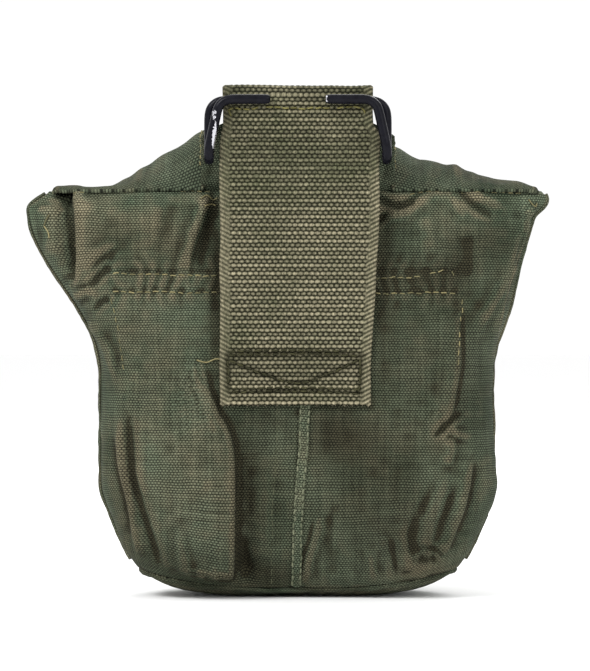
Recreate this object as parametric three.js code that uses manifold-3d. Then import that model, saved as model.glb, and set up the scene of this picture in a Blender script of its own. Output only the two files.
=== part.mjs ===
// A field canteen: a kidney-shaped metal bottle with a screw cap on a chain, in a felt-lined canvas
// cover. The cover hangs from a belt by a webbing strap and a bent-wire hook, and closes over the
// bottle's shoulders with two snap flaps.
//
// Millimetres, +Z up. The origin is the middle of the flat bottom. -Y is the side that lies against
// the wearer, with the strap and the hook; +Y is the outer side, with the snaps.
import * as THREE from "three";
import { mergeVertices } from "three/addons/utils/BufferGeometryUtils.js";
import Module from "manifold-3d";

const wasm = await Module();
wasm.setup();

// ---- Driving dimensions ----

const GAP = 0.3; // between pieces that lie on each other

// The cover, measured on its outside.
const CANVAS = 1.0;
const BOTTOM_HALF_WIDTH = 44;
const BODY_HALF_WIDTH = 75.5;
const EAR_HALF_WIDTH = 97;
const BOTTOM_HALF_DEPTH = 20;
const BODY_HALF_DEPTH = 41;
const SHOULDER_HALF_DEPTH = 28;
const SHOULDER_SET_BACK = 4; // the shoulders lie this much nearer the wearer
const BODY_POWER = 2.5; // squareness of the cross-section: 2 is an ellipse
const SHOULDER_POWER = 1.6; // under 2 is a lens with pointed sides
const BOTTOM_ROUND_HEIGHT = 46;
const SHOULDER_HEIGHT = 155; // the seam where the flaps join the back
const FLARE_START = SHOULDER_HEIGHT - 70; // the sides start to spread into the ears here
const FLARE_END = SHOULDER_HEIGHT - 5;
const LENS_START = SHOULDER_HEIGHT - 60;
const NOTCH_DEPTH = 12; // the front's top edge dips this far below the neck
const NOTCH_FLAT = 18;
const KIDNEY_BEND = 0.006; // how strongly the sides curve round the hip
const KIDNEY_SPREAD = 80; // past this half-width the bend levels off
const SIDE_SEAM = 0.25; // half the opening between back and front panels
const EAR_SEAM = 1.65; // what the ears add to it

// Felt, and the patch inside the back.
const PATCH = 0.8;
const PATCH_COLUMNS = 5; // of a back panel's eight
const PATCH_LOW = 72;
const PATCH_HIGH = SHOULDER_HEIGHT - 32;
const FELT = 2.2;
const FELT_HEIGHT = SHOULDER_HEIGHT - 17;

// The webbing strap, and the tab behind it.
const WEBBING = 2.3;
const WEBBING_HALF_WIDTH = 28.7;
const STRAP_LOW = 73.5;
const STRAP_SEWN_HIGH = 92;
const STRAP_BACK_LOW = SHOULDER_HEIGHT + 5;
const TAB_HALF_WIDTH = 34.6;
const TAB_HEIGHT = SHOULDER_HEIGHT + 29;
const TAB_CORNER_DROP = 8;
const TAB_LEAN = 3.5;

// The wire hook.
const WIRE_RADIUS = 1.8;
const WIRE_CLEARANCE = 0.4;
const HOOK_HEIGHT = TAB_HEIGHT + 4.2;
const HOOK_HALF_WIDTH = 33.4; // at its bows
const HOOK_FRONT_HALF_WIDTH = 30.4; // at the top of its front legs
const HOOK_LEG = 23;
const HOOK_DEPTH = 7.2;
const HOOK_BEND = 5;
const HOOK_TIP = 10.5;

// Flaps, their tongues and the snaps.
const FLAP = 1.6;
const FLAP_INNER = TAB_HALF_WIDTH + 1.6;
const FLAP_OUTER = 91;
const FLAP_RIDGE = SHOULDER_HEIGHT + 21;
const FLAP_RIDGE_RUN = 38;
const TONGUE_LIFT = 2.5; // from the front panel to the tongue's back
const TONGUE_LENGTH = 43;
const TONGUE_HALF_WIDTH = 17;
const TONGUE_TIP_HALF_WIDTH = 13;
const TONGUE_TOP_X = 53;
const TONGUE_TIP_X = 45;
const SNAP_DROP = 31; // from the shoulder to the snap's centre
const SNAP_BORE = 4.6;
const SOCKET_RADIUS = 7.5;
const SOCKET_HEIGHT = 3.4;
const SNAP_SHEET = 0.8; // the sockets' brass
const CLINCH_RADIUS = 6.4;
const CLINCH = 0.4;
const STUD_FLANGE_RADIUS = 5.5;
const STUD_POST_RADIUS = 1.9;
const STUD_HEAD_RADIUS = 2.5;
const STUD_HEIGHT = 5.1;
const STUD_WASHER_RADIUS = 3.6;

// The bottle.
const BOTTLE_PLAY = 3.4; // all round, inside the felt
const BOTTLE_WALL = 1.3;
const NECK_RADIUS = 15;
const NECK_WALL = 1.5;
const NECK_FOOT = SHOULDER_HEIGHT - 1;
const NECK_TOP = NECK_FOOT + 18.5;
const BOTTLE_SHOULDER = NECK_FOOT - 54;
const SHOULDER_ROUNDNESS = 1.15;
const THREAD_PITCH = 4.2;
const THREAD_RADIUS = 0.85;
const THREAD_TURNS = 1.75;

// The cap and its chain.
const CAP_WALL = 2.4;
const CAP_RIM = NECK_FOOT + 9;
const CAP_CROWN = 6.2;
const CAP_RIBS = 16;
const CAP_RIB_DEPTH = 0.9;
const GASKET = 2.0;
const SWIVEL_STEM_RADIUS = 1.5;
const SWIVEL_HEAD_RADIUS = 4;
const SWIVEL_EYE_RADIUS = 2.0;
const SWIVEL_WIRE = 0.8;
const CHAIN_RADIUS = 1.7;
const COLLAR_WIRE = 1.1;
const COLLAR_EYE_RADIUS = 2.6;

// ---- Materials ----

const paint = (color, roughness, metalness) =>
  new THREE.MeshStandardMaterial({ color, roughness, metalness });
const CANVAS_PAINT = paint(0x59604a, 0.95, 0);
const WEBBING_PAINT = paint(0x68675a, 0.95, 0);
const FELT_PAINT = paint(0x8b8468, 1, 0);
const BLACK_WIRE_PAINT = paint(0x17171c, 0.35, 0.6);
const BRASS_PAINT = paint(0x3b3a2c, 0.45, 0.8);
const BOTTLE_PAINT = paint(0xa3a5a3, 0.4, 1);
const CAP_PAINT = paint(0x1c1c1a, 0.4, 0);
const GASKET_PAINT = paint(0x8a6a45, 0.9, 0);
const CHAIN_PAINT = paint(0x9a9a96, 0.35, 1);

// ---- Geometry tools ----

const canteen = new THREE.Group();

function add(name, geometry, material, group = canteen) {
  const mesh = new THREE.Mesh(geometry, material);
  mesh.name = name;
  group.add(mesh);
}

function smooth(from, to, value) {
  const t = Math.min(1, Math.max(0, (value - from) / (to - from)));
  return t * t * (3 - 2 * t);
}

const mix = (a, b, t) => a + (b - a) * t;
const mixPoints = (p, q, t) => p.map((value, k) => mix(value, q[k], t));
const circle = (radius, angle) => [radius * Math.cos(angle), radius * Math.sin(angle)];

// The steps from one number to another, both included.
const steps = (from, to, count) => Array.from({ length: count + 1 }, (_, i) => mix(from, to, i / count));

// A geometry from points and triangles, turned so that its faces point out.
function closed(points, triangles) {
  const corner = points.map((p) => new THREE.Vector3(...p));
  let volume = 0;
  for (const [a, b, c] of triangles) {
    volume += corner[a].dot(corner[b].clone().cross(corner[c]));
  }
  const outward = volume < 0 ? triangles.map(([a, b, c]) => [a, c, b]) : triangles;
  const geometry = new THREE.BufferGeometry();
  geometry.setAttribute("position", new THREE.Float32BufferAttribute(points.flat(), 3));
  geometry.setIndex(outward.flat());
  return geometry;
}

// The same shape as a three.js geometry's, with its corners merged.
function merged(geometry) {
  const bare = geometry.clone();
  bare.deleteAttribute("normal");
  bare.deleteAttribute("uv");
  const whole = mergeVertices(bare, 1e-4);
  const position = whole.getAttribute("position");
  const points = Array.from({ length: position.count }, (_, i) => [
    position.getX(i),
    position.getY(i),
    position.getZ(i),
  ]);
  const triangles = [];
  for (let i = 0; i < whole.index.count; i += 3) {
    const corners = [whole.index.getX(i), whole.index.getX(i + 1), whole.index.getX(i + 2)];
    if (new Set(corners).size === 3) triangles.push(corners);
  }
  return closed(points, triangles);
}

// The wall between two grids of points, closed along its edges. A wall that wraps joins its last
// column to its first.
function wallBetween(front, back, wraps = false) {
  const rows = front.length - 1;
  const across = front[0].length;
  const columns = wraps ? across : across - 1;
  const at = (face, i, j) => (face * (rows + 1) + i) * across + (j % across);
  const triangles = [];
  const quad = (a, b, c, d) => triangles.push([a, b, c], [a, c, d]);
  for (let i = 0; i < rows; i++) {
    for (let j = 0; j < columns; j++) {
      quad(at(0, i, j), at(0, i, j + 1), at(0, i + 1, j + 1), at(0, i + 1, j));
      quad(at(1, i, j), at(1, i + 1, j), at(1, i + 1, j + 1), at(1, i, j + 1));
    }
  }
  for (let j = 0; j < columns; j++) {
    quad(at(0, 0, j), at(1, 0, j), at(1, 0, j + 1), at(0, 0, j + 1));
    quad(at(0, rows, j), at(0, rows, j + 1), at(1, rows, j + 1), at(1, rows, j));
  }
  for (let i = 0; i < rows && !wraps; i++) {
    quad(at(0, i, 0), at(0, i + 1, 0), at(1, i + 1, 0), at(1, i, 0));
    quad(at(0, i, columns), at(1, i, columns), at(1, i + 1, columns), at(0, i + 1, columns));
  }
  return closed([...front, ...back].flat(), triangles);
}

// A solid through a stack of rings, with a middle point closing each end.
function stackOf(rings) {
  const across = rings[0].length;
  const middle = (ring) => [0, 1, 2].map((k) => ring.reduce((sum, p) => sum + p[k], 0) / across);
  const last = rings.length - 1;
  const points = [...rings.flat(), middle(rings[0]), middle(rings[last])];
  const triangles = [];
  for (let j = 0; j < across; j++) {
    const next = (j + 1) % across;
    for (let i = 0; i < last; i++) {
      const [a, b] = [i * across + j, i * across + next];
      triangles.push([a, b, b + across], [a, b + across, a + across]);
    }
    triangles.push([points.length - 2, next, j]);
    triangles.push([points.length - 1, last * across + j, last * across + next]);
  }
  return closed(points, triangles);
}

// The way out of surface(u, v), a function that gives points.
function normalOf(surface, u, v) {
  const step = 1e-3;
  const at = (du, dv) => new THREE.Vector3(...surface(u + du, v + dv));
  const along = at(step, 0).sub(at(-step, 0));
  const across = at(0, step).sub(at(0, -step));
  return along.cross(across).normalize();
}

function solidOf(geometry) {
  const whole = geometry.index ? geometry : merged(geometry);
  return new wasm.Manifold(
    new wasm.Mesh({
      numProp: 3,
      vertProperties: whole.getAttribute("position").array,
      triVerts: new Uint32Array(whole.index.array),
    }),
  );
}

function geometryOf(solid) {
  const mesh = solid.getMesh();
  const geometry = new THREE.BufferGeometry();
  geometry.setAttribute("position", new THREE.BufferAttribute(mesh.vertProperties, 3));
  geometry.setIndex(new THREE.BufferAttribute(mesh.triVerts, 1));
  return geometry;
}

const cut = (geometry, tool) => geometryOf(solidOf(geometry).subtract(solidOf(tool)));
const join = (geometry, other) => geometryOf(solidOf(geometry).add(solidOf(other)));

// A lathed piece from [radius, height] pairs, standing on +Z.
function lathed(profile, around) {
  const outline = profile.map(([radius, height]) => new THREE.Vector2(radius, height));
  return merged(new THREE.LatheGeometry(outline, around).rotateX(Math.PI / 2));
}

const disc = (radius, low, high, around = 16) =>
  lathed([[0, low], [radius, low], [radius, high], [0, high]], around);

const washer = (bore, radius, low, high, around = 16) =>
  lathed([[bore, low], [radius, low], [radius, high], [bore, high], [bore, low]], around);

const torus = (radius, wire, around) => merged(new THREE.TorusGeometry(radius, wire, 6, around));

function tubeAlong(points, radius, sides, count, kind = "centripetal") {
  const corners = points.map((p) => new THREE.Vector3(...p));
  const extrudePath = new THREE.CatmullRomCurve3(corners, false, kind);
  const section = new THREE.Shape(
    Array.from({ length: sides }, (_, i) => new THREE.Vector2(...circle(radius, (2 * Math.PI * i) / sides))),
  );
  return merged(new THREE.ExtrudeGeometry(section, { steps: count, extrudePath, curveSegments: 1 }));
}

// ---- The cover's outside ----

const bendAt = (x) => (KIDNEY_BEND * x * x) / (1 + (x / KIDNEY_SPREAD) ** 2);

// The cross-section's size at a height.
function coverSize(z) {
  const round = Math.sqrt(1 - (1 - Math.min(1, z / BOTTOM_ROUND_HEIGHT)) ** 2);
  const flare = smooth(FLARE_START, FLARE_END, z);
  const lens = smooth(LENS_START, SHOULDER_HEIGHT, z);
  const bodyWidth = mix(BOTTOM_HALF_WIDTH, BODY_HALF_WIDTH, round);
  const bodyDepth = mix(BOTTOM_HALF_DEPTH, BODY_HALF_DEPTH, round);
  return {
    z,
    bodyWidth,
    width: bodyWidth + (EAR_HALF_WIDTH - BODY_HALF_WIDTH) * flare,
    depth: bodyDepth + (SHOULDER_HALF_DEPTH - BODY_HALF_DEPTH) * lens,
    shift: -SHOULDER_SET_BACK * lens,
    power: mix(BODY_POWER, SHOULDER_POWER, lens),
    seam: SIDE_SEAM + EAR_SEAM * smooth(LENS_START, FELT_HEIGHT, z),
  };
}

// The y of the cover's outside at x and a height, on side 1 (front) or -1 (back).
function sideY(side, x, z, outset = 0) {
  const { width, depth, power, shift } = coverSize(z);
  const share = Math.min(1, Math.abs(x) / (width + outset));
  return side * (depth + outset) * (1 - share ** power) ** (1 / power) - bendAt(x) + shift;
}

// A share of 0 is the flat bottom, ROUND_SHARE the end of its rounding, and 1 the top edge.
const ROUND_SHARE = 0.4;
const PANEL_TOP = SHOULDER_HEIGHT - GAP;
const shareAt = (z) =>
  ROUND_SHARE + ((1 - ROUND_SHARE) * (z - BOTTOM_ROUND_HEIGHT)) / (PANEL_TOP - BOTTOM_ROUND_HEIGHT);

// The cross-section at a share, with how far its outside faces outwards and upwards.
function coverLevel(share, top = PANEL_TOP) {
  const angle = Math.min(1, share / ROUND_SHARE) * (Math.PI / 2);
  const up = Math.max(0, (share - ROUND_SHARE) / (1 - ROUND_SHARE));
  const z = BOTTOM_ROUND_HEIGHT * (1 - Math.cos(angle)) + (top - BOTTOM_ROUND_HEIGHT) * up;
  return { ...coverSize(z), out: Math.sin(angle), up: Math.cos(angle) };
}

function coverPoint(level, angle, inset) {
  const along = (size, turn) =>
    (size - inset * level.out) * Math.sign(turn) * Math.abs(turn) ** (2 / level.power);
  const x = along(level.width, Math.cos(angle));
  return [x, along(level.depth, Math.sin(angle)) - bendAt(x) + level.shift, level.z + inset * level.up];
}

const AROUND = 32;
const turns = steps(0, 2 * Math.PI, AROUND).slice(0, AROUND);
const PANEL_ROWS = 12;

// The panels' own rows between two shares, so that what lies on a panel has the same facets.
function rowsBetween(low, high) {
  const inside = steps(0, 1, PANEL_ROWS).filter((share) => share > low + 0.01 && share < high - 0.01);
  return [low, ...inside, high];
}

// Angles from a side seam, where they stop short of it, and from the middle of a panel's side.
const seamAngle = (level) => Math.asin((level.seam / level.depth) ** (level.power / 2));
const middleAngle = (level) => Math.acos((GAP / 2 / level.width) ** (level.power / 2));

// The back's columns: [side, share], with share 0 at the centre seam and 1 at the side seam.
const PANEL_COLUMNS = AROUND / 4;
const backColumns = (side) => steps(0, 1, PANEL_COLUMNS).map((share) => [side, share]);

function backAngle(level, [side, share]) {
  const angle = mix(middleAngle(level), seamAngle(level), share);
  return side < 0 ? Math.PI + angle : -angle;
}

// ---- The cover's panels, patch and felt ----

function backSheet(columns, shares, outer, thickness) {
  const face = (inset) =>
    shares.map((share) => {
      const level = coverLevel(share);
      return columns.map((column) => coverPoint(level, backAngle(level, column), inset));
    });
  return wallBetween(face(outer), face(outer + thickness));
}

function addBack() {
  const rows = rowsBetween(0, 1);
  add("back_panel_left", backSheet(backColumns(-1), rows, 0, CANVAS), CANVAS_PAINT);
  add("back_panel_right", backSheet(backColumns(1), rows, 0, CANVAS), CANVAS_PAINT);

  // The patch that the strap's stitches go through.
  const left = backColumns(-1).slice(1, PATCH_COLUMNS + 1).reverse();
  const right = backColumns(1).slice(0, PATCH_COLUMNS + 1);
  const patchRows = rowsBetween(shareAt(PATCH_LOW), shareAt(PATCH_HIGH));
  add("back_patch", backSheet([...left, ...right], patchRows, CANVAS + GAP, PATCH), CANVAS_PAINT);
}

function addFront() {
  const notch = (x) => NOTCH_DEPTH * (1 - smooth(NOTCH_FLAT, TAB_HALF_WIDTH, Math.abs(x)));
  const face = (inset) =>
    steps(0, 1, PANEL_ROWS).map((share) =>
      steps(0, 1, 2 * PANEL_COLUMNS).map((across) => {
        const angleOn = (level) => mix(seamAngle(level), Math.PI - seamAngle(level), across);
        const [x] = coverPoint(coverLevel(1), angleOn(coverLevel(1)), 0);
        const level = coverLevel(share, PANEL_TOP - notch(x));
        return coverPoint(level, angleOn(level), inset);
      }),
    );
  let panel = wallBetween(face(0), face(CANVAS));
  for (const snap of snaps) {
    const drill = disc(STUD_POST_RADIUS + GAP, -2 * CANVAS, 2 * CANVAS, 12).applyMatrix4(snap.matrix);
    panel = cut(panel, drill);
  }
  add("front_panel", panel, CANVAS_PAINT);
}

// A flat disc that fits inside the cover's ring at a share.
function floorDisc(share, inset, low, high) {
  const level = { ...coverLevel(share), out: 1, up: 0 };
  const ring = (z) => turns.map((angle) => coverPoint({ ...level, z }, angle, inset));
  return stackOf([ring(low), ring(high)]);
}

const LINING_INSET = CANVAS + PATCH + 2 * GAP;
const BOTTLE_INSET = LINING_INSET + FELT + BOTTLE_PLAY;

function addBottomAndFelt() {
  add("bottom_panel", floorDisc(0, 2 * GAP, 0, CANVAS), CANVAS_PAINT);

  const rows = rowsBetween(1 / PANEL_ROWS, shareAt(FELT_HEIGHT));
  const face = (inset) =>
    rows.map((share) => turns.map((angle) => coverPoint(coverLevel(share), angle, inset)));
  const wall = wallBetween(face(LINING_INSET), face(LINING_INSET + FELT), true);
  add("lining_wall", wall, FELT_PAINT);
  const foot = LINING_INSET + GAP;
  const floor = floorDisc(rows[0], LINING_INSET + FELT, foot, foot + FELT);
  add("lining_bottom", floor, FELT_PAINT);
}

// ---- The tab, the hanger strap and the hook ----

const tabY = (x, z) =>
  sideY(-1, x, SHOULDER_HEIGHT) - (TAB_LEAN * (z - SHOULDER_HEIGHT)) / (TAB_HEIGHT - SHOULDER_HEIGHT);

function addTab() {
  const face = (inset) =>
    steps(0, 1, 5).map((share) =>
      steps(-TAB_HALF_WIDTH, TAB_HALF_WIDTH, 12).map((x) => {
        const top = TAB_HEIGHT - TAB_CORNER_DROP * Math.abs(x / TAB_HALF_WIDTH) ** 4;
        const z = mix(SHOULDER_HEIGHT + GAP, top, share);
        return [x, tabY(x, z) + inset, z];
      }),
    );
  add("neck_tab", wallBetween(face(0), face(CANVAS)), CANVAS_PAINT);
}

// Where the strap's middle line runs: sewn to the back, round the hook's bar, and down to the tab.
const strapSewnY = sideY(-1, WEBBING_HALF_WIDTH, STRAP_SEWN_HIGH) - 2 * GAP - WEBBING / 2;
const strapBackY = (z) => tabY(WEBBING_HALF_WIDTH, z) - GAP - WEBBING / 2;
const loopRadius = WIRE_RADIUS + WIRE_CLEARANCE + WEBBING / 2;
const hookY = strapBackY(TAB_HEIGHT) - GAP - loopRadius;

function strapLine() {
  const front = hookY - loopRadius;
  const line = steps(STRAP_LOW, STRAP_SEWN_HIGH, 2).map((z) => [strapSewnY, z]);
  line.push([mix(strapSewnY, front, 0.3), mix(STRAP_SEWN_HIGH, HOOK_HEIGHT, 0.25)]);
  line.push([mix(strapSewnY, front, 0.8), mix(STRAP_SEWN_HIGH, HOOK_HEIGHT, 0.6)]);
  line.push([front, HOOK_HEIGHT - loopRadius]);
  for (const angle of steps(Math.PI, 0, 10)) {
    const [y, z] = circle(loopRadius, angle);
    line.push([hookY + y, HOOK_HEIGHT + z]);
  }
  for (const z of steps(TAB_HEIGHT - 2, STRAP_BACK_LOW, 3)) line.push([strapBackY(z), z]);
  return line.map(([y, z]) => new THREE.Vector2(y, z));
}

function addStrap() {
  const line = strapLine();
  const sewnBow = (x) => sideY(-1, x, STRAP_LOW) - sideY(-1, WEBBING_HALF_WIDTH, STRAP_LOW);
  const face = (side) =>
    line.map((point, i) => {
      const ahead = line[Math.min(line.length - 1, i + 1)];
      const along = ahead.clone().sub(line[Math.max(0, i - 1)]).setLength((side * WEBBING) / 2);
      const sewn = 1 - smooth(STRAP_SEWN_HIGH, PATCH_HIGH, point.y);
      return steps(-WEBBING_HALF_WIDTH, WEBBING_HALF_WIDTH, 6).map((x) => [
        x,
        point.x - along.y + (point.x < hookY ? sewn * sewnBow(x) : 0),
        point.y + along.x,
      ]);
    });
  add("hanger_strap", wallBetween(face(1), face(-1)), WEBBING_PAINT);
}

// The hook's wire: a tip across the strap's front, down a leg, round, up and through the strap's
// loop, and the same again on the other side.
function addHook() {
  const frontY = hookY - HOOK_DEPTH;
  const frontInner = HOOK_FRONT_HALF_WIDTH - HOOK_BEND;
  const backInner = HOOK_HALF_WIDTH - HOOK_BEND;
  const corner = (inner, y, from, to) =>
    steps(from, to, 4).map((angle) => {
      const [x, z] = circle(HOOK_BEND, angle);
      return [inner + x, y, HOOK_HEIGHT - HOOK_BEND + z];
    });
  const bow = steps(Math.PI, 2 * Math.PI, 6).map((angle) => {
    const [y, z] = circle(HOOK_DEPTH / 2, angle);
    return [HOOK_HALF_WIDTH, hookY - HOOK_DEPTH / 2 + y, HOOK_HEIGHT - HOOK_LEG + HOOK_DEPTH / 2 + z];
  });
  const half = [
    [HOOK_TIP, frontY, HOOK_HEIGHT],
    [frontInner - 4, frontY, HOOK_HEIGHT],
    ...corner(frontInner, frontY, Math.PI / 2, 0),
    ...bow,
    ...corner(backInner, hookY, 0, Math.PI / 2),
    [backInner - 4, hookY, HOOK_HEIGHT],
  ];
  const other = half.map(([x, y, z]) => [-x, y, z]).reverse();
  add("belt_hook", tubeAlong([...half, ...other], WIRE_RADIUS, 8, 70), BLACK_WIRE_PAINT);
}

// ---- Flaps, tongues and snaps ----

// The flap's rise above its seam, highest beside the neck.
function ridge(x) {
  const share = Math.max(0, 1 - (x - FLAP_INNER) / FLAP_RIDGE_RUN);
  return (FLAP_RIDGE - SHOULDER_HEIGHT - FLAP - GAP) * share ** 1.5;
}

// The right flap's outside: u runs from the back seam to the front fold, v outwards from the neck.
function flapSurface(u, v) {
  const x = mix(FLAP_INNER, FLAP_OUTER, v);
  const front = sideY(1, x, SHOULDER_HEIGHT, TONGUE_LIFT + FLAP);
  const y = mix(sideY(-1, x, SHOULDER_HEIGHT), front, u);
  return [x, y, SHOULDER_HEIGHT + FLAP + GAP + ridge(x) * Math.sin(Math.PI * u)];
}

// The right tongue at an outset from the front panel: u runs down it and v outwards.
function tongueSurface(u, v, outset) {
  const z = PANEL_TOP - TONGUE_LENGTH * u;
  const tip = Math.max(0, 4 * u - 3);
  const half = mix(TONGUE_HALF_WIDTH, TONGUE_TIP_HALF_WIDTH, u) * Math.sqrt(1 - 0.85 * tip * tip);
  const x = mix(TONGUE_TOP_X, TONGUE_TIP_X, u) + half * (2 * v - 1);
  return [x, sideY(1, x, z, outset), z];
}

// Where each snap sits on the front panel, as the matrix of a piece standing on +Z there.
function snapOn(side) {
  const share = (SNAP_DROP - GAP) / TONGUE_LENGTH;
  const at = (u, v) => tongueSurface(share + u, 0.5 + v, 0);
  const axis = normalOf(at, 0, 0);
  if (axis.y < 0) axis.negate();
  const [x, y, z] = at(0, 0);
  axis.x *= side;
  const turn = new THREE.Quaternion().setFromUnitVectors(new THREE.Vector3(0, 0, 1), axis);
  const matrix = new THREE.Matrix4().makeRotationFromQuaternion(turn).setPosition(side * x, y, z);
  return { name: side < 0 ? "left" : "right", side, matrix };
}

const snaps = [snapOn(-1), snapOn(1)];

function addFlap({ name, side, matrix }) {
  const ten = steps(0, 1, 8);
  const mirrored = ([x, y, z]) => [side * x, y, z];
  const roof = (depth) =>
    ten.map((u) =>
      ten.map((v) => {
        const outside = new THREE.Vector3(...flapSurface(u, v));
        return mirrored(outside.addScaledVector(normalOf(flapSurface, u, v), depth).toArray());
      }),
    );
  add("flap_" + name, wallBetween(roof(0), roof(FLAP)), CANVAS_PAINT);

  const sheet = (outset) =>
    ten.map((u) => steps(0, 1, 6).map((v) => mirrored(tongueSurface(u, v, outset))));
  const tongue = wallBetween(sheet(TONGUE_LIFT + FLAP), sheet(TONGUE_LIFT));
  const drill = disc(SNAP_BORE + GAP, -5, 9).applyMatrix4(matrix);
  add("tongue_" + name, cut(tongue, drill), CANVAS_PAINT);
}

// The snap's heights are from the front panel's outside.
function addSnap({ name, matrix }) {
  const snap = new THREE.Group();
  snap.applyMatrix4(matrix);
  canteen.add(snap);

  const foot = TONGUE_LIFT + FLAP + GAP;
  const top = foot + SOCKET_HEIGHT;
  const socket = [
    [SNAP_BORE, foot],
    [SOCKET_RADIUS, foot],
    [SOCKET_RADIUS, foot + SNAP_SHEET],
    [SOCKET_RADIUS - 1.4, top - 0.5],
    [SOCKET_RADIUS - 2.6, top],
    [0, top],
    [0, top - SNAP_SHEET],
    [SNAP_BORE, top - SNAP_SHEET],
    [SNAP_BORE, foot],
  ];
  add("snap_socket_" + name, lathed(socket, 20), BRASS_PAINT, snap);
  const clinchTop = TONGUE_LIFT - 3 * GAP;
  const clinch = washer(SNAP_BORE, CLINCH_RADIUS, clinchTop - CLINCH, clinchTop);
  add("clinch_ring_" + name, clinch, BRASS_PAINT, snap);

  const washerTop = -CANVAS - 1.5 * GAP;
  const shankEnd = washerTop - CLINCH;
  const stud = [
    [0, shankEnd],
    [STUD_POST_RADIUS, shankEnd],
    [STUD_POST_RADIUS, GAP],
    [STUD_FLANGE_RADIUS, GAP],
    [STUD_FLANGE_RADIUS, 2 * GAP],
    [STUD_POST_RADIUS, 3 * GAP],
    [STUD_POST_RADIUS, STUD_HEIGHT - 1.7],
    [STUD_HEAD_RADIUS, STUD_HEIGHT - 1.3],
    [STUD_HEAD_RADIUS, STUD_HEIGHT - 0.5],
    [STUD_HEAD_RADIUS - 1, STUD_HEIGHT],
    [0, STUD_HEIGHT],
  ];
  add("snap_stud_" + name, lathed(stud, 14), BRASS_PAINT, snap);
  const backing = washer(STUD_POST_RADIUS + GAP, STUD_WASHER_RADIUS, washerTop - CLINCH, washerTop);
  add("stud_washer_" + name, backing, BRASS_PAINT, snap);
}

// ---- The bottle ----

function bottleRings(wall) {
  const rings = rowsBetween(0, shareAt(BOTTLE_SHOULDER)).map((share) => {
    const level = coverLevel(share);
    const body = { ...level, width: level.bodyWidth, power: BODY_POWER };
    return turns.map((angle) => coverPoint(body, angle, BOTTLE_INSET + wall));
  });
  for (const over of steps(0, Math.PI / 2, 7).slice(1)) {
    const close = Math.cos(over) ** SHOULDER_ROUNDNESS;
    const rise = (NECK_FOOT - BOTTLE_SHOULDER) * Math.sin(over) ** SHOULDER_ROUNDNESS;
    const z = BOTTLE_SHOULDER + rise;
    const size = coverSize(z);
    const body = { ...size, width: size.bodyWidth, power: BODY_POWER, out: 1, up: 0 };
    const inset = BOTTLE_INSET + wall * Math.cos(over);
    const height = z - wall * Math.sin(over);
    const ring = turns.map((angle) => {
      const wide = coverPoint(body, angle, inset);
      return [...mixPoints(circle(NECK_RADIUS, angle), wide, close).slice(0, 2), height];
    });
    rings.push(ring);
  }
  return rings;
}

function addBottle() {
  const bore = NECK_RADIUS - NECK_WALL;
  const inside = stackOf(bottleRings(BOTTLE_WALL));
  const mouth = disc(bore, NECK_FOOT - 3 * NECK_WALL, NECK_FOOT + NECK_WALL, 28);
  add("bottle_body", cut(cut(stackOf(bottleRings(0)), inside), mouth), BOTTLE_PAINT);

  const foot = NECK_FOOT + GAP;
  const tube = [
    [bore, foot],
    [NECK_RADIUS + 0.7, foot],
    [NECK_RADIUS, foot + 1],
    [NECK_RADIUS, NECK_TOP - 0.5],
    [NECK_RADIUS - 0.5, NECK_TOP],
    [bore, NECK_TOP],
    [bore, foot],
  ];
  const low = NECK_TOP - 1.6 - THREAD_PITCH * THREAD_TURNS;
  const helix = steps(0, THREAD_TURNS, 12 * THREAD_TURNS).map((turn) => [
    ...circle(NECK_RADIUS, 2 * Math.PI * turn),
    low + THREAD_PITCH * turn,
  ]);
  const thread = tubeAlong(helix, THREAD_RADIUS, 5, 30);
  add("threaded_neck", join(lathed(tube, 28), thread), BOTTLE_PAINT);
}

// A wire collar round the neck's foot, with an eye for the chain at its front.
function addCollar() {
  const radius = NECK_RADIUS + GAP + COLLAR_WIRE;
  const collar = torus(radius, COLLAR_WIRE, 22);
  const eye = torus(COLLAR_EYE_RADIUS, 0.85 * COLLAR_WIRE, 14).rotateX(0.7);
  eye.translate(0, radius + COLLAR_EYE_RADIUS - COLLAR_WIRE / 2, 0);
  const whole = join(collar, eye).translate(0, 0, NECK_FOOT + 1 + GAP + 2 * COLLAR_WIRE);
  add("chain_collar", whole, CHAIN_PAINT);
}

// ---- The cap and its chain ----

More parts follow.
